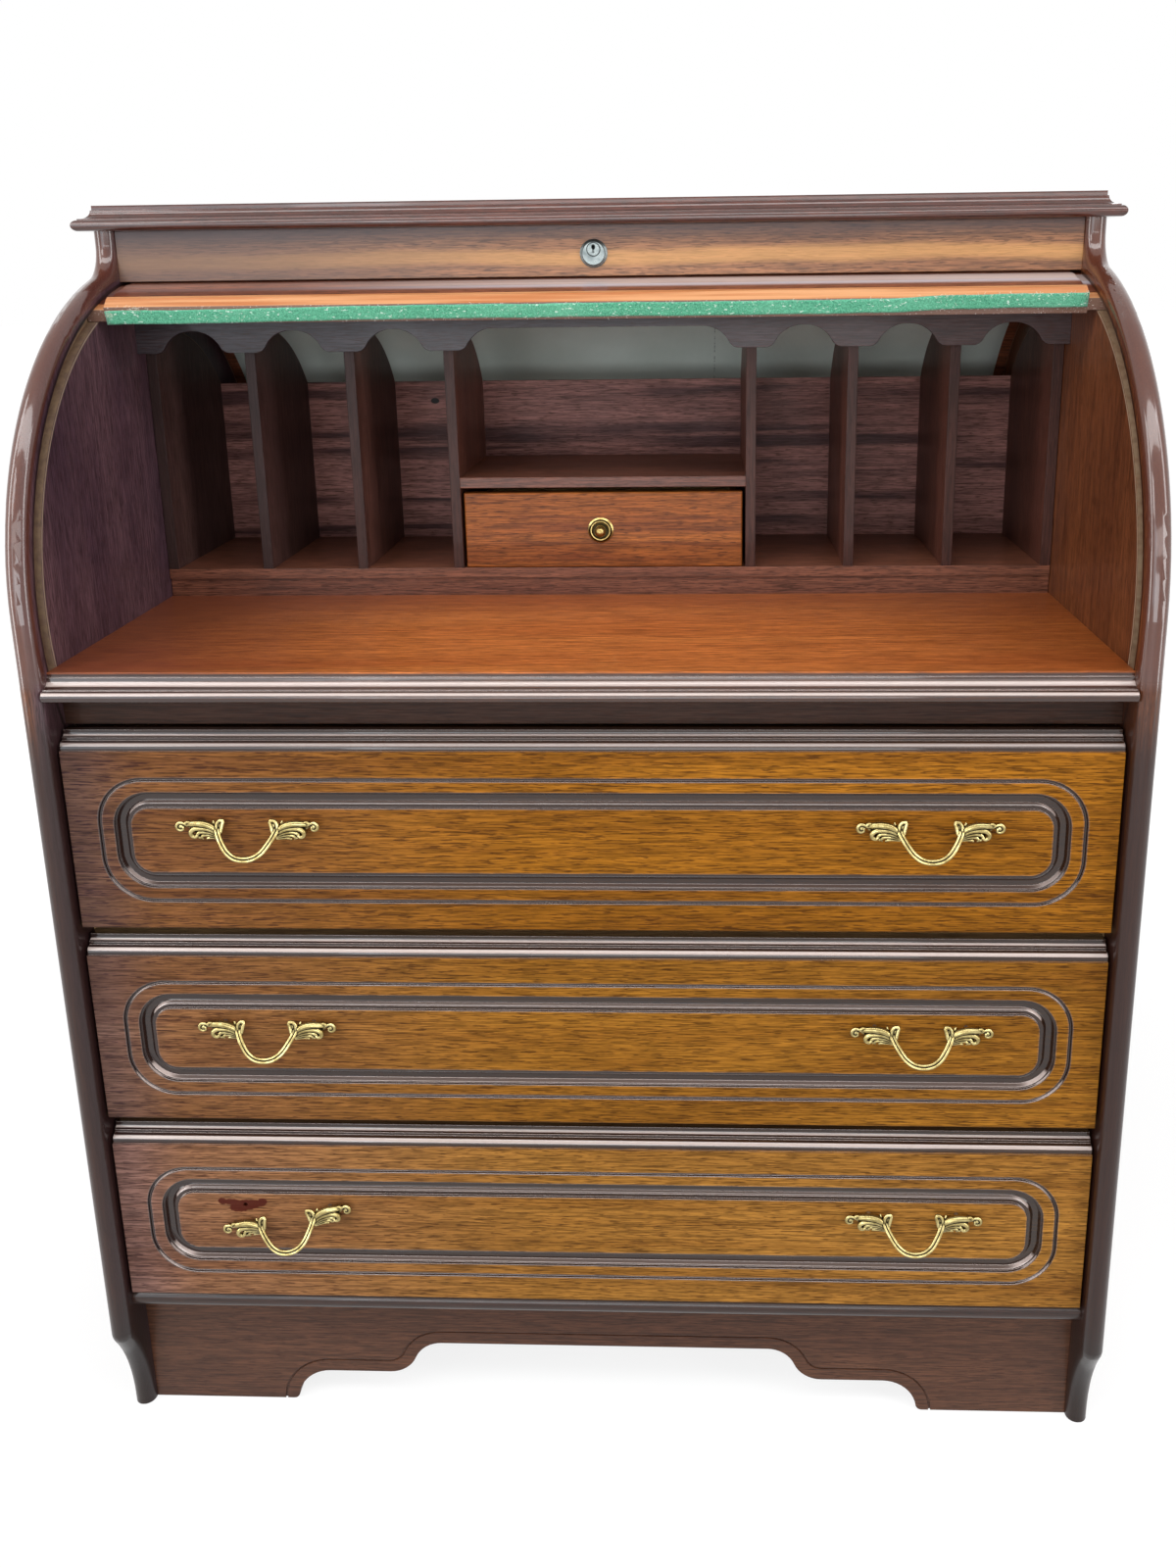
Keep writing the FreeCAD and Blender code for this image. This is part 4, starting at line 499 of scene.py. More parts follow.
# metal
def metal(name, bright, dull, rough, cavity=False, toned=None, edge=0.0):
    """Aged metal: blotched tone, fine scratches, and dark patina where the casting is hollow."""
    s = Shader(name)
    blotch = s.noise(s.coords, scale=140.0, detail=4.0)
    colour = s.mix(s.span(blotch, 0.35, 0.7), bright, dull)
    roughness = s.span(blotch, 0.3, 0.7, rough - 0.06, rough + 0.1)
    if cavity:
        attribute = s.add("ShaderNodeAttribute", attribute_name="cavity").outputs["Fac"]
        patina = s.span(attribute, 0.45, 0.62)
        colour = s.mix(s.span(attribute, 0.38, 0.54, 0.0, 0.7), colour, srgb(104, 90, 56))
        colour = s.mix(patina, colour, srgb(26, 23, 15))
        roughness = s.math("ADD", roughness, s.product(patina, 0.3))
    if toned:
        colour = toned(s, colour)
    s.set(Base_Color=colour, Roughness=roughness, Metallic=1.0)
    scratches = s.noise(s.coords, scale=900.0, detail=2.0)
    s.set(Normal=s.bump(scratches, 0.00005, 0.3, s.bevel(edge) if edge else None))
    return s.material


# hollow rings of the knob: from, to, soft ends
KNOB_RINGS = [(0.0097, 0.0107, 0.0005), (0.0055, 0.0071, 0.0007)]
KEYHOLE_RISE = 0.0020
KEYHOLE_SIZE = (0.0017, 0.0022)


def knob_tone(s, colour):
    """Patina between the rings of the knob."""
    low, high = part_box("small_drawer_knob")
    x, y, z = s.axes()
    radius = s.distance(x, z, (low.x + high.x) / 2, (low.z + high.z) / 2)
    rings = s.most(*[s.band(radius, *ring) for ring in KNOB_RINGS])
    return s.mix(rings, colour, srgb(40, 34, 20))


def lock_tone(s, colour):
    """Dark lines around the barrel and the plug, and the keyhole painted as dark shade."""
    body_low, body_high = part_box("lock_body")
    plug_low, plug_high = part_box("lock_plug")
    x, y, z = s.axes()
    plug_z = (plug_low.z + plug_high.z) / 2
    body = s.distance(x, z, 0.0, (body_low.z + body_high.z) / 2)
    plug = s.distance(x, z, 0.0, plug_z)
    lines = s.most(s.band(body, LOCK_BODY - 0.0001, LOCK_BODY + 0.0001, 0.0003),
                   s.band(plug, LOCK_PLUG - 0.0003, LOCK_PLUG + 0.0003, 0.0003))
    # painted shade inside the keyhole
    keyhole = s.span(s.distance(x, z, 0.0, plug_z + KEYHOLE_RISE, *KEYHOLE_SIZE), 1.15, 0.85)
    return s.mix(s.most(s.product(lines, 0.85), keyhole), colour, srgb(16, 18, 18))


BRASS = metal("aged_brass", srgb(200, 184, 128), srgb(150, 132, 82), 0.22, cavity=True)
paint(metal("knob_brass", srgb(178, 156, 100), srgb(136, 112, 64), 0.28, toned=knob_tone), "small_drawer_knob")
paint(metal("dull_nickel", srgb(128, 134, 133), srgb(100, 106, 106), 0.30, toned=lock_tone, edge=0.0004),
      "lock_body", "lock_plug", "lock_tongue")
paint(metal("plain_steel", srgb(170, 170, 172), srgb(120, 120, 124), 0.38), "small_drawer_knob_screw",
      *[f"drawer_{row}_handle_bolts" for row in ROWS])


# cast handles, in millimetres: along the handle, up, out of the face, radius
def spine(points, steps=6):
    """Smooth run through points of any numbers."""
    rows = [np.array(p, float) for p in points]
    rows = [2 * rows[0] - rows[1]] + rows + [2 * rows[-1] - rows[-2]]
    run = []
    for a, b, c, d in zip(rows, rows[1:], rows[2:], rows[3:]):
        for step in range(steps):
            t = step / steps
            run.append(0.5 * (2 * b + (c - a) * t + (2 * a - 5 * b + 4 * c - d) * t * t
                              + (3 * b - a - 3 * c + d) * t ** 3))
    run.append(rows[-2])
    return run


def tube(mesh, points, sides=10, steps=6):
    """Closed round tube with rounded ends along a spine."""
    run = spine(points, steps)
    centres = [Vector((p[0], -p[2], p[1])) for p in run]
    radii = [p[3] for p in run]
    first = (centres[0] - centres[1]).normalized()
    last = (centres[-1] - centres[-2]).normalized()
    ends = [(0.5, 0.866), (0.85, 0.52)]
    head = [(centres[0] + first * radii[0] * out, radii[0] * keep) for out, keep in reversed(ends)]
    tail = [(centres[-1] + last * radii[-1] * out, radii[-1] * keep) for out, keep in ends]
    rows = head + list(zip(centres, radii)) + tail
    side = Vector((0.3, 0.9, 0.2))
    rings = []
    for index, (centre, radius) in enumerate(rows):
        ahead = rows[min(index + 1, len(rows) - 1)][0] - rows[max(index - 1, 0)][0]
        ahead.normalize()
        side = (side - ahead * side.dot(ahead)).normalized()
        other = ahead.cross(side)
        ring = []
        for step in range(sides):
            turn = 2 * math.pi * step / sides
            ring.append(mesh.verts.new(centre + (side * math.cos(turn) + other * math.sin(turn)) * radius))
        rings.append(ring)
    for a, b in zip(rings, rings[1:]):
        for step in range(sides):
            after = (step + 1) % sides
            mesh.faces.new((a[step], a[after], b[after], b[step]))
    mesh.faces.new(list(reversed(rings[0])))
    mesh.faces.new(rings[-1])


def ball(mesh, along, up, out, width, height, depth):
    """Ellipsoid about a point of the handle."""
    place = Matrix.Translation((along, -out, up)) @ Matrix.Diagonal((width, depth, height, 1.0))
    bmesh.ops.create_icosphere(mesh, subdivisions=3, radius=1.0, matrix=place)


LEAF_RIBS = [
    [(24.8, -5.2, 7.6, 1.4), (28.0, -1.7, 7.4, 2.1), (32.0, 0.5, 7.0, 2.5), (38.0, 1.6, 6.6, 2.6),
     (44.0, 1.4, 6.2, 2.3), (50.0, 1.0, 5.6, 1.8)],
    [(24.6, -7.0, 8.6, 1.1), (28.0, -4.2, 8.2, 1.4), (32.5, -2.5, 8.0, 1.55), (38.0, -1.9, 8.0, 1.6),
     (43.0, -2.4, 8.0, 1.65), (46.2, -4.9, 7.8, 1.7), (46.0, -8.2, 7.4, 1.6), (43.4, -9.8, 7.2, 1.4),
     (41.6, -8.6, 7.4, 1.1)],
    [(24.4, -8.4, 8.6, 1.0), (28.2, -6.4, 7.9, 1.15), (33.0, -5.3, 7.6, 1.3), (38.0, -5.3, 7.4, 1.35),
     (41.0, -6.9, 7.0, 1.3), (41.6, -9.2, 6.4, 1.2), (39.8, -11.0, 6.0, 1.0)],
    [(24.3, -9.5, 8.6, 0.9), (28.0, -8.5, 7.5, 1.0), (32.4, -8.1, 6.9, 1.15), (36.4, -8.6, 6.4, 1.2),
     (38.4, -10.4, 5.8, 1.15), (37.8, -12.2, 5.2, 0.9)],
    [(24.2, -10.5, 8.4, 0.8), (28.0, -10.6, 6.9, 0.95), (31.6, -10.9, 6.0, 1.05), (34.4, -12.0, 5.0, 1.0),
     (34.6, -13.2, 4.4, 0.8)],
    [(26.0, -1.4, 5.4, 1.0), (27.6, 1.4, 5.2, 0.9), (28.2, 3.0, 4.8, 0.7)],
    [(49.0, 0.9, 4.8, 1.8), (55.0, -0.4, 4.8, 2.2)],
    [(51.6, 1.2, 6.6, 0.8), (53.2, 2.5, 7.0, 1.0), (55.8, 2.6, 7.2, 1.15), (57.7, 0.4, 7.2, 1.2),
     (57.4, -2.4, 7.0, 1.2), (55.2, -3.9, 6.8, 1.15), (52.8, -3.2, 6.6, 1.0), (52.9, -1.4, 7.0, 0.8)],
    [(47.0, 2.6, 6.6, 0.9), (48.9, 3.2, 7.0, 1.05), (50.6, 1.6, 7.0, 1.05), (49.2, 0.0, 6.8, 0.8)],
    [(23.4, -6.8, 9.2, 1.1), (24.9, -2.8, 7.8, 1.35), (24.5, 1.4, 7.1, 1.35), (22.8, 4.0, 7.0, 1.35),
     (20.7, 4.9, 7.2, 1.25)],
    [(21.9, -7.2, 9.9, 1.1), (20.8, -3.0, 8.9, 1.25), (19.9, 0.8, 8.1, 1.25), (19.2, 3.3, 7.6, 1.25)],
]
LEAF_BODIES = [(31.0, -5.4, 3.2, 7.4, 6.8, 4.2), (38.5, -4.2, 3.2, 8.0, 6.2, 4.4), (45.0, -1.2, 3.2, 5.8, 4.0, 3.4),
               (54.9, -0.7, 5.2, 3.2, 3.2, 2.9), (49.0, 1.4, 4.8, 2.4, 2.4, 2.3), (21.9, -0.8, 6.2, 2.4, 5.4, 2.6),
               (20.0, 4.4, 7.2, 2.0, 2.0, 1.7)]
RIB_FULLNESS = 1.22
MELT_SIZE = 0.40
REACH_MARGIN = 0.05
BAIL_HALF = 24.9
BAIL_BOW = [(1.00, 0.10), (0.985, 0.18), (0.93, 0.32), (0.80, 0.53), (0.625, 0.75), (0.46, 0.88), (0.265, 0.965),
            (0.0, 1.0)]
BAIL_TOP = (4.6, 1.5)
BAIL_LOW = (21.5, -23.0)
BAIL_BULGE = 1.2
STRANDS = [(1.3, 1.2, 0.0), (-1.3, 1.2, 0.0), (0.0, 0.9, -0.8)]


def bail_run(offset, radius, behind):
    """Points of one strand of the bow, offset outwards in its plane and back from it."""
    out, up = BAIL_LOW[0] - BAIL_TOP[0], BAIL_LOW[1] - BAIL_TOP[1]
    fall = math.hypot(out, up)
    half = [(BAIL_HALF * along, fall * low) for along, low in BAIL_BOW]
    line = spine(half + [(-along, low) for along, low in reversed(half[:-1])], 4)
    points = []
    for index, (along, low) in enumerate(line):
        before, after = line[max(index - 1, 0)], line[min(index + 1, len(line) - 1)]
        ahead = (after - before) / np.hypot(*(after - before))
        along, low = along + ahead[1] * offset, low - ahead[0] * offset
        lift = behind + BAIL_BULGE * math.sin(math.pi * min(max(low / fall, 0.0), 1.0))
        points.append((along, BAIL_TOP[1] + (up * low + out * lift) / fall,
                       BAIL_TOP[0] + (out * low - up * lift) / fall, radius))
    return points


def mirrored(points):
    return [(-p[0],) + tuple(p[1:]) for p in points]


def melted(mesh, size):
    """Skin of overlapping closed shapes, as one mesh."""
    rough = bpy.data.meshes.new("handle_rough")
    mesh.to_mesh(rough)
    mesh.free()
    body = bpy.data.objects.new("handle_rough", rough)
    bpy.context.scene.collection.objects.link(body)
    melt = body.modifiers.new("melt", "REMESH")
    melt.mode = "VOXEL"
    melt.voxel_size = size
    bpy.context.view_layer.update()
    skin = bpy.data.meshes.new_from_object(body.evaluated_get(bpy.context.evaluated_depsgraph_get()))
    bpy.data.objects.remove(body)
    return skin


def hollowness(mesh):
    """How far each vertex lies in a hollow of its surroundings."""
    hollow = []
    for vert in mesh.verts:
        pull = Vector()
        for edge in vert.link_edges:
            pull += (edge.other_vert(vert).co - vert.co).normalized()
        hollow.append(pull.dot(vert.normal) / max(len(vert.link_edges), 1))
    for turn in range(3):
        hollow = [0.5 * hollow[v.index] + 0.5 * sum(hollow[e.other_vert(v).index] for e in v.link_edges)
                  / max(len(v.link_edges), 1) for v in mesh.verts]
    return [min(max(0.5 + value * 2.2, 0.0), 1.0) for value in hollow]


def handle_mesh():
    """One casting from ribs, bodies and the strands of its bow, melted into one skin."""
    mesh = bmesh.new()
    for side in (1, -1):
        turn = mirrored if side < 0 else list
        for rib in LEAF_RIBS:
            tube(mesh, turn([p[:3] + (p[3] * RIB_FULLNESS,) for p in rib]))
        for along, up, out, width, height, depth in LEAF_BODIES:
            ball(mesh, side * along, up, out, width, height, depth)
    for strand in STRANDS:
        tube(mesh, bail_run(*strand), steps=2)
    bmesh.ops.recalc_face_normals(mesh, faces=mesh.faces)
    skin = melted(mesh, MELT_SIZE)
    mesh = bmesh.new()
    mesh.from_mesh(skin)
    for turn in range(2):
        bmesh.ops.smooth_vert(mesh, verts=mesh.verts, factor=0.5, use_axis_x=True, use_axis_y=True, use_axis_z=True)
    for vert in mesh.verts:
        vert.co.y = max(min(vert.co.y, 0.0), REACH_MARGIN - HANDLE_REACH / MM)
    mesh.normal_update()
    hollow = hollowness(mesh)
    bmesh.ops.scale(mesh, vec=(MM, MM, MM), verts=mesh.verts)
    mesh.to_mesh(skin)
    mesh.free()
    skin.attributes.new("cavity", "FLOAT", "POINT").data.foreach_set("value", hollow)
    skin.polygons.foreach_set("use_smooth", [True] * len(skin.polygons))
    skin.name = "handle_casting"
    skin.materials.clear()
    skin.materials.append(BRASS)
    return skin


def link(piece, body, slot, *nodes):
    """Puts a finished piece into the scene, on its body and in place of its nodes."""
    bpy.context.scene.collection.objects.link(piece)
    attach(piece, body)
    if nodes:
        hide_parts(*nodes)
    return piece


def add_handles():
    casting = handle_mesh()
    for row in ROWS:
        for side, word in ((-1, "left"), (1, "right")):
            piece = bpy.data.objects.new(f"drawer_{row}_handle_{word}", casting)
            place = Matrix.Translation((side * HANDLE_SPREAD, FACE_Y, FRONT_LOW[row] + HANDLE_RISE))
            if row == SLIPPED_ROW and side < 0:
                pivot = Matrix.Translation((BOLT_SPREAD, 0, 0))
                place = place @ pivot @ Matrix.Rotation(math.radians(-HANDLE_TILT), 4, "Y") @ pivot.inverted()
            piece.matrix_world = place
            link(piece, f"drawer_{row}", "brass", f"drawer_{row}_handles")


add_handles()


# curtain
def section(node):
    """Corners of a long piece's cross-section as (y, z), and its ends along x."""
    points = np.array([v.co for v in NODES[node].data.vertices])
    return points[:, 1:], points[:, 0].min(), points[:, 0].max()


def thin_sheet(levels, rows, columns, corner):
    """Closed sheet between two levels, from corner(level, share of the rows, share of the columns)."""
    mesh = bmesh.new()
    layers = [[[mesh.verts.new(corner(level, row / rows, column / columns)) for column in range(columns + 1)]
               for row in range(rows + 1)] for level in levels]
    back, front = layers
    for row in range(rows):
        for column in range(columns):
            for layer in layers:
                mesh.faces.new((layer[row][column], layer[row][column + 1], layer[row + 1][column + 1],
                                layer[row + 1][column]))
        for column in (0, columns):
            mesh.faces.new((back[row][column], back[row + 1][column], front[row + 1][column], front[row][column]))
    for row in (0, rows):
        for column in range(columns):
            mesh.faces.new((back[row][column], back[row][column + 1], front[row][column + 1], front[row][column]))
    return mesh


def finished(mesh, name, material, smooth=True):
    """Object from a mesh, with its faces turned outwards."""
    bmesh.ops.recalc_face_normals(mesh, faces=mesh.faces)
    data = bpy.data.meshes.new(name)
    mesh.to_mesh(data)
    mesh.free()
    data.polygons.foreach_set("use_smooth", [smooth] * len(data.polygons))
    data.materials.append(material)
    return bpy.data.objects.new(name, data)


def felt_frame():
    """Foot of the rail: a point at its inner edge, the way across it and the way out of it."""
    corners, low_x, high_x = section("curtain_felt")
    spread = corners - np.array([AXIS.y, AXIS.z])
    radius = np.hypot(spread[:, 0], spread[:, 1])
    inner = corners[radius < radius.min() + 0.004]
    outer = corners[radius > radius.max() - 0.004]
    rail = section("curtain_rail")[0].mean(0)
    across = outer.mean(0) - inner.mean(0)
    across = across / np.hypot(*across)
    away = np.array([across[1], -across[0]])
    if away @ (corners.mean(0) - rail) < 0:
        away = -away
    foot = inner[np.argmin(inner @ away)]
    return foot, across, away, low_x, high_x


FOOT, ACROSS, AWAY, FELT_LEFT, FELT_RIGHT = felt_frame()
# marks of the open curtain along y: step between the rail's tiers, painted highlight on the rear of the rail,
# painted highlight on the first slat with its soft ends
STEP_Y = -0.0838
RAIL_REAR = (-0.070, -0.063)
FIRST_SLAT = (-0.0600, -0.0405, 0.0020)
# and along x: where the painted highlight starts and is full
HIGHLIGHT_SPAN = (-0.32, 0.0)


def rail_tone(s, colour):
    """Orange lower tier, paler in part as a painted highlight on its forward face, redder upper tier with a painted
    highlight along its rear, greyed wood on the foot.
    """
    x, y, z = s.axes()
    # the lower tier's pale orange is partly its wood and partly a painted highlight on its forward face
    lower = s.span(y, STEP_Y + 0.0003, STEP_Y - 0.0003)
    streak = s.noise(s.scaled((6.0, 300.0, 300.0)), detail=3.0)
    orange = s.mix(s.span(streak, 0.3, 0.7), srgb(198, 122, 70), srgb(230, 168, 116))
    colour = s.mix(s.product(lower, 0.8), colour, orange)
    # painted highlight along the rear of the rail, stronger to the right
    painted_sheen = s.product(s.span(y, *RAIL_REAR), s.span(x, *HIGHLIGHT_SPAN, 0.1, 0.75))
    colour = s.mix(painted_sheen, colour, srgb(206, 202, 210))
    out = s.math("ADD", s.math("MULTIPLY", s.math("SUBTRACT", y, float(FOOT[0])), float(AWAY[0])),
                 s.math("MULTIPLY", s.math("SUBTRACT", z, float(FOOT[1])), float(AWAY[1])))
    bare = s.span(out, -0.0007, -0.0002)
    speck = s.span(s.noise(s.coords, scale=700.0, detail=2.0), 0.62, 0.70)
    worn = s.mix(s.product(speck, 0.8), srgb(112, 88, 80), srgb(214, 206, 200))
    return s.mix(s.product(bare, 0.9), colour, worn), None, None


def slat_tone(s, colour):
    """Painted highlight on the first slat, stronger to the right."""
    x, y, z = s.axes()
    streak = s.noise(s.scaled((7.0, 260.0, 260.0)), detail=3.0)
    # painted highlight on the first slat
    painted_sheen = s.product(s.band(y, *FIRST_SLAT), s.span(x, *HIGHLIGHT_SPAN, 0.12, 0.75),
                       s.span(streak, 0.25, 0.6, 0.65, 1.0))
    return s.mix(painted_sheen, colour, srgb(210, 196, 192)), None, None


paint(wood("curtain_wood", srgb(136, 76, 56), srgb(100, 52, 38), PORE, figure=0.9, stripe=0.3, rough=0.32, coat=0.3,
           toned=rail_tone, seed=13.0), "curtain_rail")
paint(wood("slat_wood", srgb(150, 88, 60), srgb(108, 56, 40), PORE, figure=0.9, stripe=0.3, rough=0.3, coat=0.5,
           toned=slat_tone, seed=13.5), "curtain_slats")


def felt_material():
    s = Shader("green_felt")
    tuft = s.noise(s.coords, scale=900.0, detail=4.0, roughness=0.7)
    worn = s.noise(s.scaled((1.0, 3.0, 3.0)), scale=14.0, detail=4.0, roughness=0.6)
    colour = s.mix(s.span(tuft, 0.3, 0.7), srgb(40, 122, 92), srgb(112, 196, 158))
    colour = s.mix(s.span(worn, 0.45, 0.75, 0.0, 0.4), colour, srgb(128, 200, 166))
    lint = s.noise(s.scaled((0.5, 1.0, 1.0)), scale=520.0, detail=2.0)
    colour = s.mix(s.span(lint, 0.62, 0.70, 0.0, 0.75), colour, srgb(224, 240, 228))
    s.set(Base_Color=colour, Roughness=0.95, Specular_IOR_Level=0.2, Sheen_Weight=0.4, Sheen_Roughness=0.5)
    s.set(Normal=s.bump(tuft, 0.0006, 0.8))
    return s.material


FELT_THICK = 0.0018
FELT_WIDTH = 0.0118
FELT_GAP = 0.00005
FELT_LIFT = 0.0002
FELT_WAVE = 0.0003
FELT_FRAY = 0.03
FELT_STEPS = 170
FELT_ROWS = 8
# how far the strip has slipped outwards, from the left end to the right
FELT_SLIP = [(0.00, -0.0008), (0.06, -0.0007), (0.16, 0.0000), (0.28, 0.0012), (0.50, 0.0014), (0.70, 0.0013),
             (0.80, 0.0020), (0.88, 0.0042), (0.94, 0.0050), (1.00, 0.0046)]


def felt_slip(t):
    """Slip at a share of the length."""
    for (start, low), (end, high) in zip(FELT_SLIP, FELT_SLIP[1:]):
        if t <= end:
            s = (t - start) / (end - start)
            return low + (high - low) * s * s * (3 - 2 * s)
    return FELT_SLIP[-1][1]


def felt_point(t, c, out):
    """Place on the strip: share of the length, share of the width, distance out of the rail's foot."""
    x = FELT_LEFT + (FELT_RIGHT - FELT_LEFT) * t
    at = felt_slip(t) + FELT_WAVE * math.sin(t * 61.0) * math.sin(t * 23.0 + 1.0) + FELT_WIDTH * c
    yz = FOOT + ACROSS * at + AWAY * out
    return Vector((x, yz[0], yz[1]))


def felt_corner(level, t, c):
    """Frayed corner of the strip: level over the rail's foot, share of the length, share of the width."""
    fray = FELT_FRAY * noise.noise(Vector((t * 134.0, c * 3.0, 7.0))) if c in (0.0, 1.0) else 0.0
    lift = FELT_LIFT * max(0.0, math.sin(t * 40.0 + 2.0)) * c
    lift += FELT_LIFT * noise.noise(Vector((t * 50.0, c, 1.0)))
    return felt_point(t, c + fray, max(lift, 0.0) + level)


def add_felt():
    """Worn strip that has slipped on the foot of the rail: low at the left, high at the right."""
    mesh = thin_sheet((FELT_GAP, FELT_THICK), FELT_STEPS, FELT_ROWS, felt_corner)
    piece = link(finished(mesh, "felt_strip", felt_material()), "curtain", "felt", "curtain_felt")


# loose fibres: share of the length, its spread, share of the width, its spread, how many
LINT_GROUPS = [(0.030, 0.006, 1.12, 0.10, 26), (0.004, 0.004, 0.75, 0.08, 18), (0.13, 0.010, 0.45, 0.20, 6),
               (0.90, 0.080, 1.00, 0.03, 70), (0.84, 0.020, 0.70, 0.20, 8), (0.50, 0.300, 1.00, 0.02, 26),
               (0.30, 0.150, 0.02, 0.03, 12)]
LINT_RADIUS = 0.0001
# height of a fibre over the felt: the least, and what chance adds at most
LINT_HEIGHT = (0.0001, 0.0002)
LINT_STEPS = 4
LINT_STEP = (0.0005, 0.0011)


def lint_material():
    s = Shader("pale_lint")
    tone = s.noise(s.coords, scale=300.0, detail=2.0)
    s.set(Base_Color=s.mix(s.span(tone, 0.3, 0.7), srgb(236, 236, 222), srgb(204, 214, 190)), Roughness=0.9)
    return s.material


def add_lint():
    """Fluff and frayed fibres on the felt."""
    random.seed(4)
    mesh = bmesh.new()
    for place, spread, width, width_spread, count in LINT_GROUPS:
        for number in range(count):
            t = min(max(random.gauss(place, spread), 0.002), 0.998)
            c = random.gauss(width, width_spread)
            start = felt_point(t, c, FELT_THICK + LINT_HEIGHT[0] + random.random() * LINT_HEIGHT[1])
            heading = random.uniform(0, 2 * math.pi)
            bend = random.uniform(-0.9, 0.9)
            points = []
            for step in range(LINT_STEPS):
                points.append((start.x / MM, start.z / MM, -start.y / MM, LINT_RADIUS / MM))
                reach = random.uniform(*LINT_STEP)
                start = start + Vector((math.cos(heading), ACROSS[0] * math.sin(heading),
                                        ACROSS[1] * math.sin(heading))) * reach
                heading += bend
            tube(mesh, points, sides=4, steps=2)
    bmesh.ops.scale(mesh, vec=(MM, MM, MM), verts=mesh.verts)
    link(finished(mesh, "felt_lint", lint_material(), smooth=False), "curtain", "felt")


# seam of the canvas along x: from, to, soft ends
SEAM = (0.1095, 0.1103, 0.0004)


def canvas_material():
    s = Shader("backing_canvas")
    weave_x = s.add("ShaderNodeTexWave", wave_type="BANDS", bands_direction="X")
    weave_y = s.add("ShaderNodeTexWave", wave_type="BANDS", bands_direction="Z")
    for weave in (weave_x, weave_y):
        s.feed(weave.inputs["Vector"], s.coords)
        weave.inputs["Scale"].default_value = 260.0
        weave.inputs["Distortion"].default_value = 1.2
        weave.inputs["Detail"].default_value = 1.0
    threads = s.math("MULTIPLY", weave_x.outputs["Fac"], weave_y.outputs["Fac"])
    soil = s.noise(s.coords, scale=9.0, detail=4.0)
    colour = s.mix(s.span(soil, 0.3, 0.7), srgb(240, 244, 234), srgb(222, 227, 216))
    colour = s.mix(s.span(threads, 0.2, 0.9, 0.3, 0.0), colour, srgb(132, 138, 126))
    x, y, z = s.axes()
    stitch = s.product(s.band(x, *SEAM), s.span(s.noise(s.scaled((1.0, 1.0, 420.0))), 0.45, 0.6))
    colour = s.mix(s.product(stitch, 0.6), colour, srgb(70, 72, 66))
    s.set(Base_Color=colour, Roughness=0.9, Specular_IOR_Level=0.2, Sheen_Weight=0.15)
    s.set(Normal=s.bump(threads, 0.0003, 0.6))
    return s.material


CANVAS_COLUMNS = 40
CANVAS_ROWS = 120
CANVAS_RIPPLE = 0.0003


def add_canvas():
    """Cloth behind the slats, a little uneven on its inner side."""
    corners, low_x, high_x = section("curtain_canvas")
    spread = corners - np.array([AXIS.y, AXIS.z])
    radius = np.hypot(spread[:, 0], spread[:, 1])
    angle = np.unwrap(np.sort(np.arctan2(spread[:, 1], spread[:, 0])))
    start, end = float(angle.min()), float(angle.max())
    outer, inner = float(radius.max()), float(radius.min())

    def corner(depth, along, across):
        turn = start + (end - start) * along
        x = low_x + (high_x - low_x) * across
        reach = depth
        if depth == inner:
            reach += CANVAS_RIPPLE * noise.noise(Vector((x * 14.0, turn * 20.0, 3.0)))
        return (x, AXIS.y + reach * math.cos(turn), AXIS.z + reach * math.sin(turn))

    mesh = thin_sheet((outer, inner), CANVAS_ROWS, CANVAS_COLUMNS, corner)
    piece = link(finished(mesh, "canvas_backing", canvas_material()), "curtain", "canvas", "curtain_canvas")


add_felt()
add_lint()
add_canvas()


# camera at the photograph's place
CAMERA_PLACE = Vector((0.09215, FACE_Y - 0.90951, 1.03254))
YAW, PITCH, ROLL = 0.0361, -0.2382, -0.0129
FOCAL_PIXELS = 1246.98
CENTRE = (669.77, 585.41)
IMAGE = (1200, 1600)
SENSOR = 36.0


def add_camera():
    ahead = Vector((-math.sin(YAW) * math.cos(PITCH), math.cos(YAW) * math.cos(PITCH), math.sin(PITCH)))
    right = Vector((math.cos(YAW), math.sin(YAW), 0))
    up = right.cross(ahead)
    right, up = (right * math.cos(ROLL) + up * math.sin(ROLL), up * math.cos(ROLL) - right * math.sin(ROLL))
    data = bpy.data.cameras.new("camera")
    data.sensor_width = SENSOR
    data.lens = FOCAL_PIXELS / max(IMAGE) * SENSOR
    data.shift_x = (IMAGE[0] / 2 - CENTRE[0]) / max(IMAGE)
    data.shift_y = (CENTRE[1] - IMAGE[1] / 2) / max(IMAGE)
    data.clip_start = 0.05
    camera = bpy.data.objects.new("camera", data)
    bpy.context.scene.collection.objects.link(camera)
    turn = Matrix((right, up, -ahead)).transposed().to_4x4()
    camera.matrix_world = Matrix.Translation(CAMERA_PLACE) @ turn
    bpy.context.scene.camera = camera


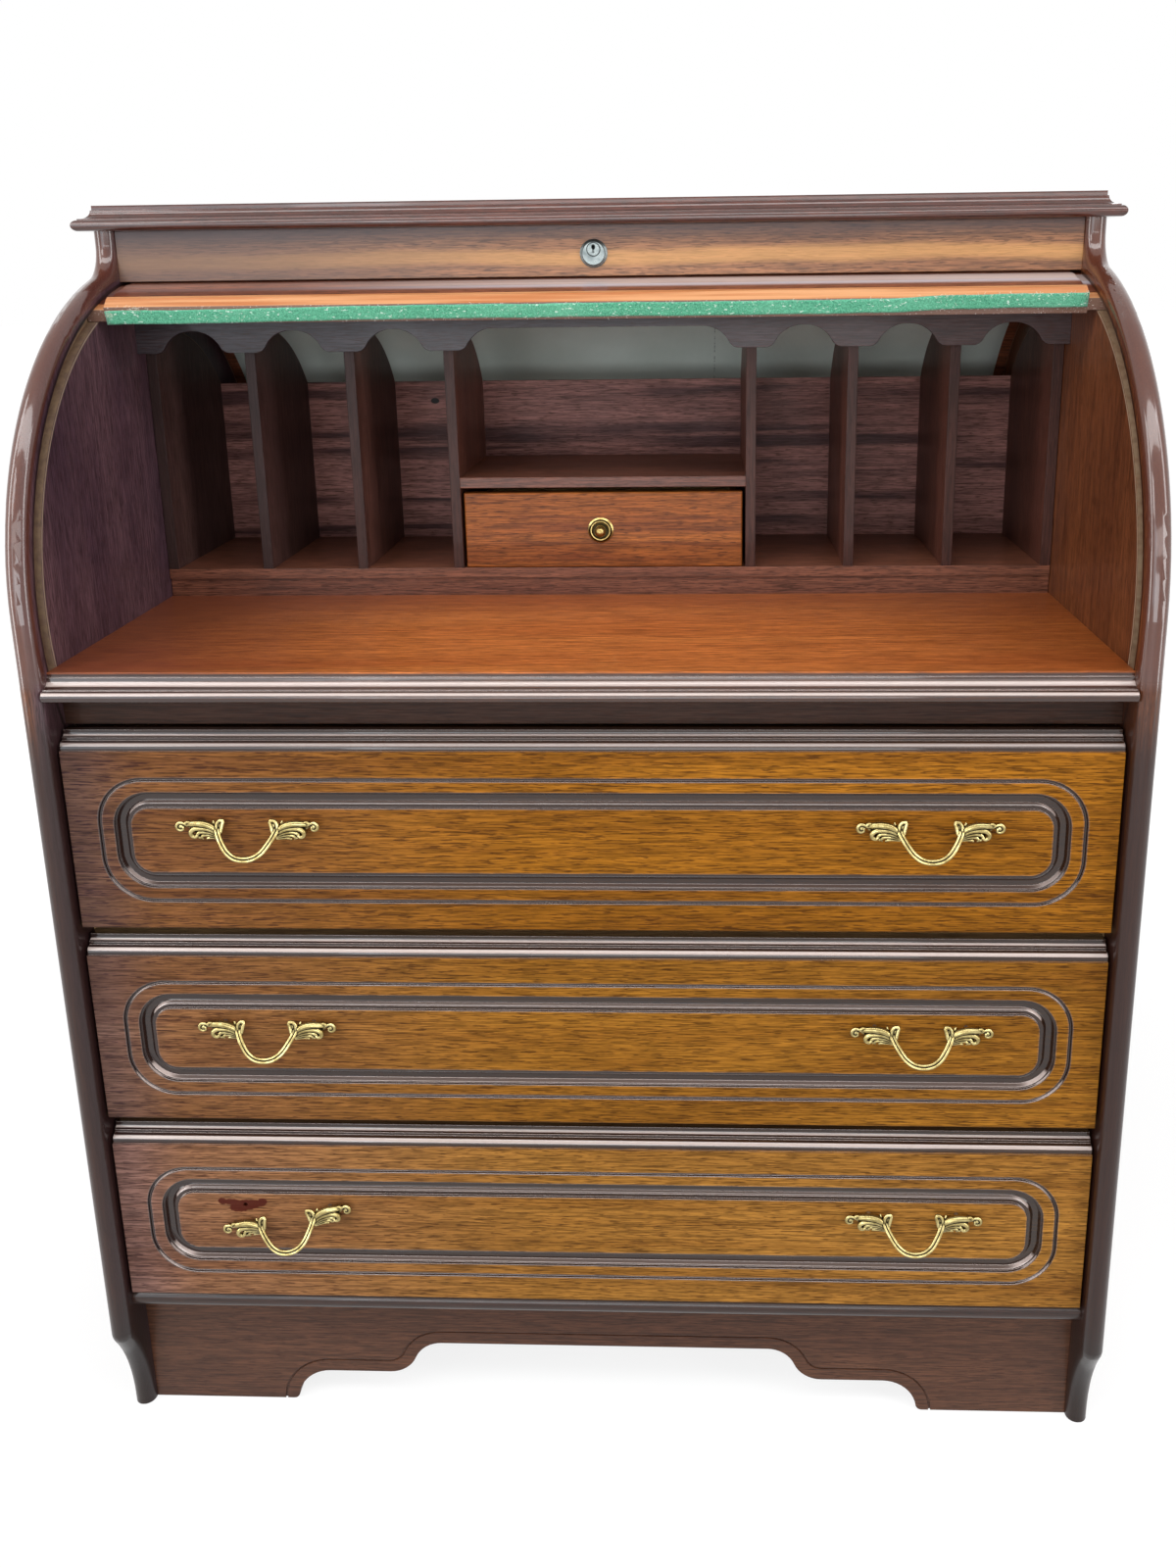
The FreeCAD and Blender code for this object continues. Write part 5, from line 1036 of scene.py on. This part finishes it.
class Rays:
    """Numbers of a floor's or world's node tree that depend on the kind of ray."""

    def __init__(self, tree):
        self.tree = tree
        self.path = tree.nodes.new("ShaderNodeLightPath").outputs

    def math(self, operation, a, b):
        node = self.tree.nodes.new("ShaderNodeMath")
        node.operation = operation
        for socket, value in zip(node.inputs, (a, b)):
            if isinstance(value, bpy.types.NodeSocket):
                self.tree.links.new(value, socket)
            else:
                socket.default_value = value
        return node.outputs[0]

    def span(self, value, low, high, bottom, top):
        node = self.tree.nodes.new("ShaderNodeMapRange")
        node.interpolation_type = "SMOOTHSTEP"
        self.tree.links.new(value, node.inputs[0])
        for socket, number in zip(node.inputs[1:5], (low, high, bottom, top)):
            socket.default_value = number
        return node.outputs[0]

    def choose(self, seen, other):
        """One level for what is seen straight, in mirrors or through glass, and one for all other light."""
        straight = self.math("MAXIMUM", self.path["Is Camera Ray"], self.path["Is Transmission Ray"])
        shown = self.math("MAXIMUM", straight, self.path["Is Glossy Ray"])
        rest = self.math("SUBTRACT", 1.0, shown)
        return self.math("ADD", self.math("MULTIPLY", shown, seen), self.math("MULTIPLY", rest, other))


FLOOR_SIZE = 30.0
FLOOR_DROP = 0.0005
FLOOR_GREY = 0.22
FLOOR_GLOW = 0.82
FLOOR_FADE = (0.6, 2.2)


def add_floor():
    """Pale floor that fades to white away from the desk."""
    mesh = bmesh.new()
    bmesh.ops.create_grid(mesh, x_segments=2, y_segments=2, size=FLOOR_SIZE)
    data = bpy.data.meshes.new("floor")
    mesh.to_mesh(data)
    mesh.free()
    material = bpy.data.materials.new("pale_floor")
    material.use_nodes = True
    tree = material.node_tree
    tree.nodes.clear()
    diffuse = tree.nodes.new("ShaderNodeBsdfDiffuse")
    diffuse.inputs["Color"].default_value = (FLOOR_GREY, FLOOR_GREY, FLOOR_GREY, 1)
    glow = tree.nodes.new("ShaderNodeEmission")
    both = tree.nodes.new("ShaderNodeAddShader")
    output = tree.nodes.new("ShaderNodeOutputMaterial")
    rays = Rays(tree)
    place = tree.nodes.new("ShaderNodeTexCoord").outputs["Object"]
    length = tree.nodes.new("ShaderNodeVectorMath")
    length.operation = "LENGTH"
    tree.links.new(place, length.inputs[0])
    far = rays.span(length.outputs["Value"], *FLOOR_FADE, FLOOR_GLOW, 1.0)
    tree.links.new(rays.choose(far, 0.0), glow.inputs["Strength"])
    tree.links.new(diffuse.outputs[0], both.inputs[0])
    tree.links.new(glow.outputs[0], both.inputs[1])
    tree.links.new(both.outputs[0], output.inputs[0])
    data.materials.append(material)
    floor = bpy.data.objects.new("floor", data)
    floor.location.z = -FLOOR_DROP
    bpy.context.scene.collection.objects.link(floor)


AMBIENT = 0.10


def add_world():
    """White backdrop with a low level of light."""
    world = bpy.data.worlds.new("room")
    bpy.context.scene.world = world
    world.use_nodes = True
    tree = world.node_tree
    tree.nodes.clear()
    glow = tree.nodes.new("ShaderNodeBackground")
    glow.inputs["Color"].default_value = (1.0, 1.0, 1.0, 1.0)
    output = tree.nodes.new("ShaderNodeOutputWorld")
    rays = Rays(tree)
    tree.links.new(rays.choose(1.0, AMBIENT), glow.inputs["Strength"])
    tree.links.new(glow.outputs[0], output.inputs[0])


def add_lamp(name, place, target, size, power, colour=(1.0, 1.0, 1.0)):
    data = bpy.data.lights.new(name, "AREA")
    data.shape = "RECTANGLE"
    data.size, data.size_y = size
    data.energy = power
    data.color = colour
    lamp = bpy.data.objects.new(name, data)
    lamp.location = place
    lamp.rotation_euler = (Vector(target) - Vector(place)).to_track_quat("-Z", "Y").to_euler()
    bpy.context.scene.collection.objects.link(lamp)


add_camera()
add_floor()
add_world()
add_lamp("overhead", (0.0, -1.5, 2.8), (0.0, -0.25, 0.5), (3.6, 0.7), 42)
add_lamp("key", (-1.6, -2.0, 2.0), (0.0, -0.2, 0.6), (0.7, 0.7), 9)
add_lamp("window", (-1.35, -2.6, 1.0), (0.0, 0.0, 0.85), (1.2, 1.4), 12, (0.78, 0.91, 1.0))
add_lamp("high front", (0.3, -2.7, 1.4), (0.0, -0.2, 0.8), (3.0, 0.45), 12)
add_lamp("low front", (-0.1, -2.7, 0.55), (0.0, 0.0, 0.9), (1.6, 0.7), 17, (0.90, 0.96, 1.0))
add_lamp("left strip", (-2.0, -1.0, 1.45), (-0.4, -0.2, 1.1), (0.5, 2.9), 28)
add_lamp("right strip", (2.0, -1.2, 1.45), (0.4, -0.2, 1.1), (0.5, 2.9), 28)
add_lamp("rear", (0.6, 2.6, 2.4), (0.0, 0.0, 0.6), (1.6, 1.2), 45)
bpy.context.scene.view_settings.view_transform = "Standard"
